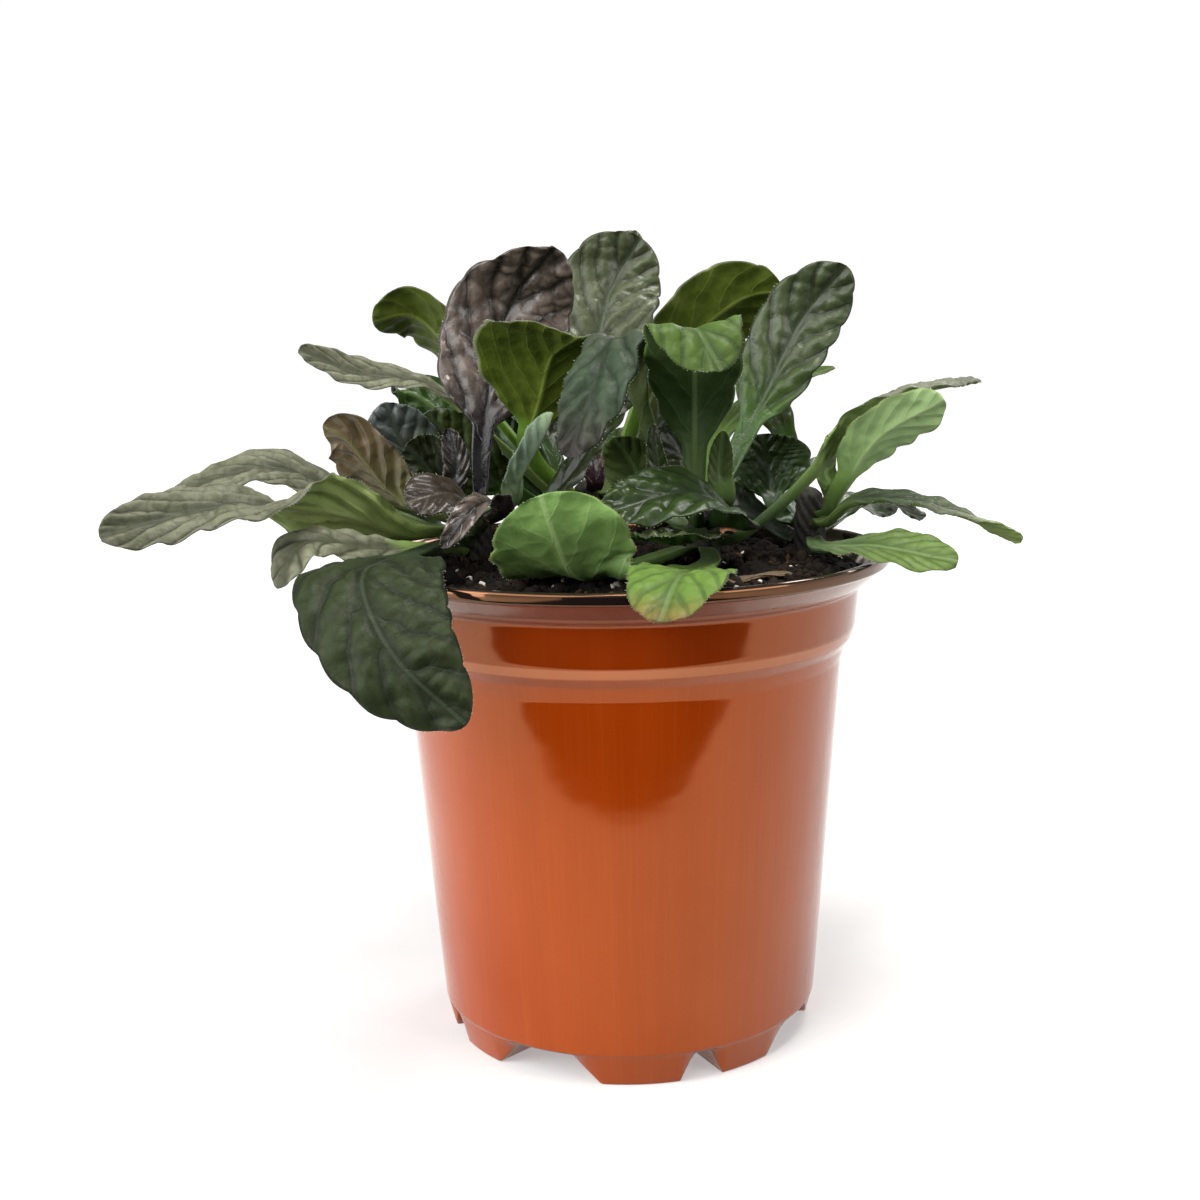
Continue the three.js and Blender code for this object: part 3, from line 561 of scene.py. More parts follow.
@dataclass(frozen=True)
class PotPlastic:
    """Two-layer polypropylene sheet, formed hot over a mould: terracotta outside and black inside.

    The mould leaves a glossy skin with faint upright drawing marks, and handling leaves fine dirt.
    """

    name: str = "polypropylene, hot formed, terracotta over black"
    outside: str = "#a43a03"
    lining: str = "#15100f"
    # pale colour of the painted highlights on the shoulder and under the flare
    painted_highlight: str = "#d9936e"
    dirt: str = "#2b1d14"
    # Millimetres across the features of each pattern
    mark: float = 0.526
    band: float = 7.7
    cloud: float = 36
    speck_cell: float = 5
    wear: float = 2.4
    ripple: float = 17
    wall_radius: float = 55  # where the marks have that width
    squeeze: float = 0.015  # height of the marks' pattern for each millimetre of wall: they run upright
    ledge: Pair = (7.4, 8.2)  # the wall ends in a small ledge here

    def build(self) -> bpy.types.Material:
        """Builds the material.

        Returns:
            The finished material.
        """
        material = Material(self.name)
        tree = material.tree
        put = partial(add, tree)
        place = put(PLACE)
        x, y, z = (put(SPLIT_XYZ, place, output=k) for k in range(3))
        outwards = put(UNIT_VECTOR, put(JOIN_XYZ, x, y))
        radius = self.wall_radius * MM
        drawn = put(VECTOR_TIMES_PLUS, outwards, (radius, radius, 0.0), put(JOIN_XYZ, Z=z))
        upright = put(VECTOR_TIMES, drawn, (1.0, 1.0, self.squeeze))
        marks = put(NOISE, Vector=upright, Scale=per_metre(self.mark), Detail=2.0, Roughness=0.6)
        bands = put(NOISE, Vector=upright, Scale=per_metre(self.band), Detail=3.0)
        clouds = put(NOISE, Vector=place, Scale=per_metre(self.cloud), Detail=5.0, Roughness=0.6)
        # The collar and the flare, above 100.5 and 111.8 mm, are darker: painted shade under the lip and the
        # leaves
        layers = [(colour, put(RAMP, value, low, high, 0.0, most), 1) for colour, value, low, high, most in (
            ("#a83d05", bands, 0.36, 0.64, 1.0), ("#bc663a", marks, 0.5, 0.75, 0.1),
            ("#983403", clouds, 0.45, 0.7, 0.35), ("#5e1d07", z, 100.5 * MM, 101.5 * MM, 0.38),
            ("#35120a", z, 111.8 * MM, 112.6 * MM, 0.4))]
        # Painted highlights: pale lines on the shoulder and on the edge under the flare
        for middle, half, strength in ((99.8, 1.3, 0.5), (112.1, 0.5, 0.45)):
            off = put(SIZE, put(MINUS, z, middle * MM))
            layers.append((self.painted_highlight, put(RAMP, off, 0.7 * half * MM, half * MM, strength, 0.0), 1))
        # Specks of soil up to 0.3 mm, one in some of the cells, thickest near the foot
        specks = put(CELLS, Vector=place, Scale=per_metre(self.speck_cell), Randomness=1.0)
        chosen = put(SPLIT_XYZ, specks.node.outputs["Color"])
        near_foot = put(RAMP, z, 2 * MM, 16 * MM, 0.5, 0.0)
        on_wall = put(RAMP, z, 90 * MM, 100 * MM, 0.05, 0.0)
        picked = put(BELOW, chosen, put(PLUS, near_foot, on_wall))
        speck = put(TIMES, picked, put(RAMP, specks, 0.035, 0.06, 1.0, 0.0))
        inner = put(MARK, attribute_name="inner")
        worn = put(NOISE, Vector=place, Scale=per_metre(self.wear), Detail=3.0)
        layer = put(RAMP, put(TIMES_PLUS, worn, 0.3, inner), 0.6, 0.68, 0.0, 1.0)
        colour = layered(tree, self.outside, *layers, (self.lining, layer, 1), (self.dirt, speck, 1))

        rough = put(TIMES_PLUS, speck, 0.5, put(RAMP, clouds, 0.3, 0.7, 0.07, 0.13))
        ripple = put(NOISE, Vector=place, Scale=per_metre(self.ripple), Detail=2.0)
        height = put(TIMES_PLUS, speck, 0.3, put(TIMES_PLUS, marks, 0.02, ripple))
        ledge = put(SMOOTH_RAMP, z, self.ledge[0] * MM, self.ledge[1] * MM, 0.0, 3.0)
        bump = put(BUMP, Height=put(PLUS, height, ledge), Strength=0.25, Distance=0.9 * MM)
        material.set(Base_Color=colour, Roughness=rough, Normal=bump, IOR=1.55, Specular_IOR_Level=0.95,
                     Specular_Tint=linear("#ffb47e"), Coat_Weight=0.03, Coat_Roughness=0.08)
        return material.made


@dataclass(frozen=True)
class Grit:
    """Peat, its crumbs, bits of bark or perlite: matt, fibrous and cloudy."""

    name: str
    damp: str
    dry: str
    grain: float  # millimetres across a grain
    cloud: float = 11  # millimetres across a damp patch

    def build(self) -> bpy.types.Material:
        """Builds the material.

        Returns:
            The finished material.
        """
        material = Material(self.name)
        put = partial(add, material.tree)
        place = put(PLACE)
        grains = put(NOISE, Vector=place, Scale=per_metre(self.grain), Detail=4.0, Roughness=0.7)
        clouds = put(NOISE, Vector=place, Scale=per_metre(self.cloud), Detail=3.0)
        share = put(RAMP, put(TIMES, grains, clouds), 0.16, 0.42, 0.0, 1.0)
        colour = layered(material.tree, self.damp, (self.dry, share, 1))
        bump = put(BUMP, Height=grains, Strength=0.7, Distance=0.5 * MM)
        material.set(Base_Color=colour, Roughness=0.92, Normal=bump, IOR=1.4, Specular_IOR_Level=0.2)
        return material.made


@dataclass(frozen=True)
class StalkFibre:
    """Dried plant fibre: ribbed lengthwise and blotched by rot."""

    name: str
    furrow: str
    rib: str
    dry: str  # in patches
    rib_width: float = 0.45
    squeeze: float = 0.12  # length of the ribs' pattern for each millimetre: they run lengthwise
    patch: float = 3.1  # millimetres across a dry patch

    def build(self) -> bpy.types.Material:
        """Builds the material.

        Returns:
            The finished material.
        """
        material = Material(self.name)
        put = partial(add, material.tree)
        across, along = (put(MARK, attribute_name=label) for label in ("across", "along"))
        lengthwise = put(JOIN_XYZ, across, put(TIMES, along, self.squeeze))
        ribs = put(NOISE, Vector=lengthwise, Scale=1 / self.rib_width, Detail=3.0, Roughness=0.6)
        patches = put(NOISE, Vector=put(PLACE), Scale=per_metre(self.patch), Detail=4.0, Roughness=0.65)
        ribbed = put(RAMP, ribs, 0.35, 0.65, 0.0, 1.0)
        dried = put(RAMP, patches, 0.55, 0.7, 0.0, 0.7)
        colour = layered(material.tree, self.furrow, (self.rib, ribbed, 1), (self.dry, dried, 1))
        bump = put(BUMP, Height=ribs, Strength=0.6, Distance=0.4 * MM)
        material.set(Base_Color=colour, Roughness=0.72, Normal=bump, IOR=1.45)
        return material.made


# Pot


@dataclass(frozen=True)
class Channel:
    """A raised channel across the pot's underside, in degrees round the pot from the front."""

    centre: float
    bottom_half: float
    top_half: float
    drain_radius: float
    drain_at: float


@dataclass
class Pot:
    """The round nursery pot: one thin formed wall with a collar, a flared rim and a raised foot."""

    outside: tuple[Pair, ...] = (
        (45.1, 0), (47.1, 7.8), (53.6, 93), (54.6, 96.4), (56.2, 98.6), (57, 101.4), (57.8, 110.6),
        (59.6, 112), (64.2, 116), (65, 116.4), (65, 118.6), (64.3, 119),
    )
    inside: tuple[Pair, ...] = (
        (62.8, 118.9), (60.6, 117.2), (57.9, 113.4), (56.6, 110.4), (55.9, 101.6), (55, 99.2),
        (53.4, 97), (52.6, 93), (46.1, 9), (44.1, 1.2), (20, 1.2), (16, 1.2), (0, 1.2),
    )
    hub_radius: float = 17
    channel_start: float = 21
    channel_height: float = 6.8
    sheet: float = 1.2  # thickness of the foot
    rounding: float = 0.55
    corner_steps: int = 4
    support: float = 0.5  # from a rounded corner to the row of points that keeps the wall beside it flat
    dark_layer_from: float = 116.2  # the black inner layer is folded over the lip down to here
    directions: int = 360
    channels: tuple[Channel, ...] = (
        Channel(-25, 17.5, 9, 5.5, 37),
        Channel(23, 7, 2.6, 2.4, 38),
    )
    repeats: int = 4  # each channel comes again so many times round the pot
    drill_depth: float = 6

    def profile(self) -> np.ndarray:
        """Lays out the wall's section with rounded corners.

        Returns:
            Rows of radius, height, share of the channels' lift, and share of the black layer.
        """
        foot = [(0, 0, 0, 0), (self.hub_radius, 0, 0, 0), (self.channel_start, 0, 1, 0)]
        wall = [(r, z, float(z == 0), float(z > self.dark_layer_from)) for r, z in self.outside]
        lining = [(r, z, float(z == self.sheet and r > self.hub_radius), 1.0) for r, z in self.inside]
        corners = np.array([*foot, *wall, *lining], dtype=float)
        rows = [corners[0]]
        for before, corner, after in zip(corners, corners[1:], corners[2:]):
            legs = [before - corner, after - corner]
            sizes = [np.linalg.norm(leg[:2]) for leg in legs]
            cuts = [min(self.rounding, 0.42 * size) / size for size in sizes]
            start, end = (corner + leg * cut for leg, cut in zip(legs, cuts))
            if sizes[0] > 6 * self.rounding:
                rows.append(start + legs[0] * self.support / sizes[0])
            for k in range(self.corner_steps + 1):
                t = k / self.corner_steps
                rows.append((1 - t) ** 2 * start + 2 * t * (1 - t) * corner + t * t * end)
            if sizes[1] > 6 * self.rounding:
                rows.append(end + legs[1] * self.support / sizes[1])
        rows.append(corners[-1])
        return np.array(rows)

    def build_tree(self) -> Tree:
        """Builds the tree that turns the section round the axis, raises the channels and cuts the drains.

        Returns:
            The tree.
        """
        tree, given = new_geometry_tree("turned pot wall", {
            "Rows": ("Int", 10), "Directions": ("Int", 360), "Channel Height": ("Float", 0.0068),
            "Drain Height": ("Float", 0.0068), "Material": ("Material", None)})
        put = partial(add, tree)
        columns = put(PLUS, given["Directions"], 1.0)
        sheet = put("GeometryNodeMeshGrid", output="Mesh", Size_X=1.0, Size_Y=1.0,
                    Vertices_X=columns, Vertices_Y=given["Rows"])
        uv = sheet.node.outputs["UV Map"]
        last_row = put(MINUS, given["Rows"], 1.0)
        row = put(ROUND, put(TIMES, put(SPLIT_XYZ, uv, output=1), last_row))
        angle = put(TIMES, put(SPLIT_XYZ, uv), 2 * math.pi)
        degrees = put(DEGREES, angle)
        sampled = partial(put, "GeometryNodeSampleIndex", Geometry=given["Geometry"], Index=row)
        section = sampled(data_type="FLOAT_VECTOR", Value=put("GeometryNodeInputPosition"))
        lift, inner = (sampled(data_type="FLOAT", Value=put(STORED, label)) for label in ("lift", "inner"))
        share: Any = 0.0
        for channel in self.channels:
            away = put(ZIGZAG, put(MINUS, degrees, channel.centre), 180 / self.repeats)
            cut = put(RAMP, away, channel.top_half, channel.bottom_half, 1.0, 0.0)
            share = put(LARGER, share, cut)
        radius, level = (put(SPLIT_XYZ, section, output=k) for k in (0, 2))
        height = put(TIMES_PLUS, put(TIMES, share, lift), given["Channel Height"], level)
        x = put(TIMES, radius, put(SINE, angle))
        y = put(TIMES, radius, put(TIMES, put(COSINE, angle), -1.0))
        wall = put("GeometryNodeSetPosition", Geometry=sheet, Position=put(JOIN_XYZ, x, y, height))
        wall = put("GeometryNodeStoreNamedAttribute", data_type="FLOAT", domain="POINT",
                   Geometry=wall, Name="inner", Value=inner)
        wall = put("GeometryNodeMergeByDistance", Geometry=wall, Distance=0.01 * MM)
        for channel in self.channels:
            ring = put("GeometryNodeMeshCircle", output="Mesh", Vertices=self.repeats,
                       Radius=channel.drain_at * MM)
            seat = put("GeometryNodeTransform", Geometry=ring,
                       Rotation=(0.0, 0.0, math.radians(channel.centre)),
                       Translation=put(JOIN_XYZ, Z=given["Drain Height"]))
            drill = put("GeometryNodeMeshCylinder", output="Mesh", Vertices=32,
                        Radius=channel.drain_radius * MM, Depth=self.drill_depth * MM)
            drills = put("GeometryNodeInstanceOnPoints", Points=seat, Instance=drill)
            drills = put("GeometryNodeRealizeInstances", drills)
            wall = put("GeometryNodeMeshBoolean", output="Mesh", operation="DIFFERENCE", solver="EXACT",
                       Mesh_1=wall, Mesh_2=drills)
        put("NodeGroupOutput", made_real(tree, wall, given["Material"]))
        return tree

    def build(self) -> None:
        """Makes the pot and puts it in its node's place."""
        rows = self.profile()
        points = np.stack([rows[:, 0], np.zeros(len(rows)), rows[:, 1]], 1)
        pot = new_piece("nursery_pot", points, [], {"lift": rows[:, 2], "inner": rows[:, 3]})
        grow(pot, self.build_tree(), {
            "Rows": len(rows), "Directions": self.directions, "Channel Height": self.channel_height * MM,
            "Drain Height": (self.channel_height + self.sheet / 2) * MM, "Material": PotPlastic().build()})
        pot.data.shade_smooth()
        face_outwards(pot)
        finish_piece(pot, "pot_plastic", "pot")


# Soil


@dataclass(frozen=True)
class Grains:
    """One kind of loose grain that is strewn over the soil."""

    name: str
    density: float  # grains on a square millimetre
    half: float
    slimness: float
    roundness: int
    seed: int
    finish: bpy.types.Material


@dataclass
class Soil:
    """The potting soil: a low mound of peat with loose crumbs, white perlite and bits of bark."""

    bottom: float = 8.4
    edge_height: float = 114.6
    mound_height: float = 117.4
    mound_radius: float = 57.9
    edge_radius: float = 57.2
    lump: float = 0.6
    lump_turn: Pair = (0.31, 0.27)
    lump_phase: Pair = (1.1, -0.4)
    rough: float = 0.9  # height of the small clods
    clod_waves: int = 14
    clod_length: Pair = (3.0, 12.0)  # of the shortest and the longest wave
    clod_stretch: float = 1.7  # a wave's breadth against its length
    clod_sum: float = 2.2  # what the waves add up to at the most
    clod_seed: int = 11
    calm_edge: float = 3  # the clods fade out towards the edge over this width
    sides: tuple[Pair, ...] = ((45.4, 9.7), (52, 93), (52.8, 97), (54.4, 99.2), (56.0, 110.4))
    sectors: int = 160
    top_rows: int = 46
    clear_of_edge: float = 1.6  # in half lengths of a grain, so that none pokes through the pot

    def height(self, x: np.ndarray, y: np.ndarray) -> np.ndarray:
        """Height of the mound at places seen from above.

        Args:
            x: How far right each place is.
            y: How far back it is.

        Returns:
            The heights, without the small clods.
        """
        share = np.hypot(x, y) / self.mound_radius
        lumps = (np.sin(x * self.lump_turn[0] + self.lump_phase[0])
                 * np.cos(y * self.lump_turn[1] + self.lump_phase[1]))
        return self.mound_height + (self.edge_height - self.mound_height) * share ** 2 + self.lump * lumps

    def clods(self, x: np.ndarray, y: np.ndarray) -> np.ndarray:
        """Small clods as a sum of crossed waves, each turned and stretched on its own.

        Args:
            x: How far right each place is.
            y: How far back it is.

        Returns:
            Their height, from about -1 to 1.
        """
        total = np.zeros_like(x)
        draw = np.random.default_rng(self.clod_seed)
        shortest, longest = self.clod_length
        for _ in range(self.clod_waves):
            turn, phase, shift = draw.uniform(0, 2 * math.pi, 3)
            length = shortest + (longest - shortest) * draw.uniform() ** 2
            u = (x * math.cos(turn) + y * math.sin(turn)) * 2 * math.pi / length
            v = (y * math.cos(turn) - x * math.sin(turn)) * 2 * math.pi / (length * self.clod_stretch)
            total += np.sin(u + phase) * np.cos(v + shift) * length / longest
        return total / self.clod_sum

    def build_bed(self) -> bpy.types.Object:
        """Makes the body of the soil.

        Returns:
            The piece. Its loose top is marked with the distance from the edge.
        """
        turns = round_turn(self.sectors)
        ring = np.stack([np.sin(turns), -np.cos(turns)], 1)
        rings = [np.column_stack([ring * radius, np.full(self.sectors, z)]) for radius, z in self.sides]
        top = [np.zeros(self.sectors) for _ in self.sides]
        for radius in self.edge_radius * (1 - np.arange(self.top_rows) / self.top_rows):
            x, y = ring.T * radius
            fade = smoothstep(np.array(radius), self.edge_radius, self.edge_radius - self.calm_edge)
            z = self.height(x, y) + self.rough * self.clods(x, y) * fade
            rings.append(np.stack([x, y, z], 1))
            top.append(np.full(self.sectors, self.edge_radius - radius))
        zero = np.zeros(1)
        peak = self.height(zero, zero) + self.rough * self.clods(zero, zero)
        points = np.vstack([[[0, 0, self.bottom]], *rings, [[0, 0, peak[0]]]])
        marks = np.concatenate([[0], *top, [self.edge_radius]])
        bed = new_piece("peat_bed", points, ring_faces(len(rings), self.sectors), {"from_edge": marks})
        face_outwards(bed)
        return bed

    @staticmethod
    def build_scatter() -> Tree:
        """Builds the tree that strews rough grains over the loose top of the soil.

        Returns:
            The tree.
        """
        tree, given = new_geometry_tree("strewn grains", {
            "Grains On A Square Metre": ("Float", 1000.0), "Grain": ("Float", 0.001),
            "Slimness": ("Float", 1.0), "Millimetres From Edge": ("Float", 1.0), "Roundness": ("Int", 1),
            "Seed": ("Int", 0), "Material": ("Material", None)})
        put = partial(add, tree)
        seed = given["Seed"]
        on_top = put(ABOVE, put(STORED, "from_edge"), given["Millimetres From Edge"])
        points = put("GeometryNodeDistributePointsOnFaces", output="Points", Mesh=given["Geometry"],
                     Selection=on_top, Density=given["Grains On A Square Metre"], Seed=seed)
        ball = put("GeometryNodeMeshIcoSphere", output="Mesh", Radius=given["Grain"],
                   Subdivisions=given["Roundness"])
        dents = put(NOISE, output="Color", Vector=put("GeometryNodeInputPosition"), Scale=per_metre(1.1),
                    Detail=2.0)
        dented = put(STRETCHED, put(VECTOR_MINUS, dents, (0.5, 0.5, 0.5)), given["Grain"])
        lump = put("GeometryNodeSetPosition", Geometry=ball, Offset=dented)
        long_way = put(JOIN_XYZ, given["Slimness"], 1.0, 0.8)
        lump = put("GeometryNodeTransform", Geometry=lump, Scale=long_way)
        turn = put(RANDOM_VECTOR, (0.0, 0.0, 0.0), (6.28, 6.28, 6.28), Seed=seed)
        size = put(RANDOM, 0.35, 1.5, Seed=seed)
        strewn = put("GeometryNodeInstanceOnPoints", Points=points, Instance=lump, Rotation=turn, Scale=size)
        put("NodeGroupOutput", made_real(tree, strewn, given["Material"]))
        return tree

    def build(self) -> None:
        """Makes the bed and strews its grains."""
        bed = self.build_bed()
        bed.data.materials.append(Grit("peat, damp and fibrous", "#040302", "#17110c", 1.1).build())
        scatter = self.build_scatter()
        crumb = Grit("peat crumbs, half dry", "#080605", "#2a2017", 0.7).build()
        bark = Grit("composted bark", "#1f140d", "#6b5138", 0.5).build()
        perlite = Grit("perlite, expanded and chalky", "#a39c90", "#efece4", 0.5).build()
        for kind in (
            Grains("peat_crumbs", 0.26, 0.85, 1.2, roundness=1, seed=3, finish=crumb),
            Grains("peat_clods", 0.035, 1.7, 1.1, roundness=2, seed=5, finish=crumb),
            Grains("bark_bits", 0.016, 0.5, 3.6, roundness=1, seed=8, finish=bark),
            Grains("perlite_grains", 0.009, 0.8, 1.1, roundness=2, seed=13, finish=perlite),
        ):
            grains = bpy.data.objects.new(kind.name, bed.data.copy())
            bpy.context.scene.collection.objects.link(grains)
            grow(grains, scatter, {
                "Grains On A Square Metre": kind.density / MM ** 2, "Grain": kind.half * MM,
                "Slimness": kind.slimness, "Roundness": kind.roundness, "Seed": kind.seed,
                "Millimetres From Edge": self.clear_of_edge * kind.half * kind.slimness,
                "Material": kind.finish})
            grains.data.shade_smooth()
            finish_piece(grains, "potting_soil")
        finish_piece(bed, "potting_soil", "potting_soil")


# Crowns


@dataclass
class Crown:
    """A short upright rootstock, half buried, that the leaves of one rosette sit on."""

    name: str
    centre: Pair
    radius: float = 4
    top_radius: float = 3.1
    root_radius: float = 2.4
    foot: float = 102.4
    neck: float = 113.4
    first_tier: float = 119.2
    tier_step: float = 2.3
    taper_tier: float = 2
    top_tier: float = 5.6
    bevel: float = 1.4
    dome: float = 0.5
    rib_depth: float = 0.55
    rib_waves: float = 4  # each wave round the crown makes two ribs
    rib_lean: float = 0.9  # radians for each millimetre up
    rib_blunt: float = 0.7
    thread_height: float = 0.09
    threads: float = 23
    thread_sway: float = 2.0
    thread_lean: float = 0.8
    around: int = 72
    rows: int = 60

    def tier_height(self, tier: float) -> float:
        """Height of the leaf bases of a tier."""
        return self.first_tier + tier * self.tier_step

    def radius_at(self, height: float) -> float:
        """Radius of the crown at a height, where its old skins don't count.

        Args:
            height: The height.

        Returns:
            The radius.
        """
        taper = self.tier_height(self.taper_tier)
        share = (height - taper) / (self.tier_height(self.top_tier) - self.bevel - taper)
        return self.radius + (self.top_radius - self.radius) * min(max(share, 0), 1)

    def build(self, finish: bpy.types.Material) -> None:
        """Makes the rootstock, ribbed by the bases of old leaves.

        Args:
            finish: Its material.
        """
        top = self.tier_height(self.top_tier)
        heights = [self.foot, self.neck, self.tier_height(self.taper_tier), top - self.bevel, top]
        radii = [self.root_radius, self.radius, self.radius, self.top_radius, self.top_radius / 2]
        z = np.linspace(self.foot, top, self.rows)
        turn = round_turn(self.around)
        level = z[:, None]
        old_bases = np.abs(np.sin(turn[None] * self.rib_waves + level * self.rib_lean)) ** self.rib_blunt
        sway = self.thread_sway * np.sin(level * self.thread_lean)
        threads = np.sin(turn[None] * self.threads + sway)
        radius = (np.interp(z, heights, radii)[:, None] - self.rib_depth * (1 - old_bases)
                  + self.thread_height * threads)
        x = self.centre[0] + radius * np.sin(turn)
        y = self.centre[1] - radius * np.cos(turn)
        rings = np.stack([x, y, np.broadcast_to(z[:, None], x.shape)], -1).reshape(-1, 3)
        points = np.vstack([[*self.centre, self.foot], rings, [*self.centre, top + self.dome]])
        across = np.concatenate([[0], (radius * turn).ravel(), [0]])
        along = np.concatenate([[0], np.repeat(z, self.around), [top]])
        piece = new_piece(f"rootstock_{self.name}", points, ring_faces(self.rows, self.around),
                          {"across": across, "along": along})
        face_outwards(piece)
        piece.data.materials.append(finish)
        finish_piece(piece, "crown", f"{self.name}_crown")


CROWNS = {
    "left": Crown("left", (-36, 2)),
    "front": Crown("front", (20, -6)),
    "right": Crown("right", (47, 9)),
    "rear": Crown("rear", (-10, 34)),
}


# Leaves


@dataclass(frozen=True)
class Tint:
    """A stretch of a leaf that has another colour.

    It is strongest at a share of the leaf's length, and gone at reach from there.
    """

    at: float
    reach: float
    colour: str
    strength: float = 1.0
    side: int = 0  # 1 for the upper face only, -1 for the underside only, 0 for both


@dataclass(frozen=True)
class Leaf:
    """One leaf with its stalk. It starts on its crown at a tier and follows its midrib points.

    half, fold and curl are one number for both sides of the blade, or the left and the right one.
    roll turns the blade about its midrib at each point, in degrees, and heading is the way the leaf
    leans, from +X towards +Y, where it isn't that of its path. stalk is the share that is bare stalk.
    """

    tier: int
    tone: Tone
    path: tuple[Point, ...]
    half: float | Pair
    stalk: float = 0.3
    fold: float | Pair = 12
    curl: float | Pair = -8
    roll: tuple[float, ...] = ()
    heading: float | None = None
    shape: Pair = (0.75, 0.5)
    veins: Pair = (5.2, 1.15)  # pairs of lateral veins, and how far one gains towards the tip
    value: float = 1.0  # brightness against others of its tone, lowered as painted shade on leaves deep in the rosette and raised as painted light on olive undersides lit from behind
    tints: tuple[Tint, ...] = ()


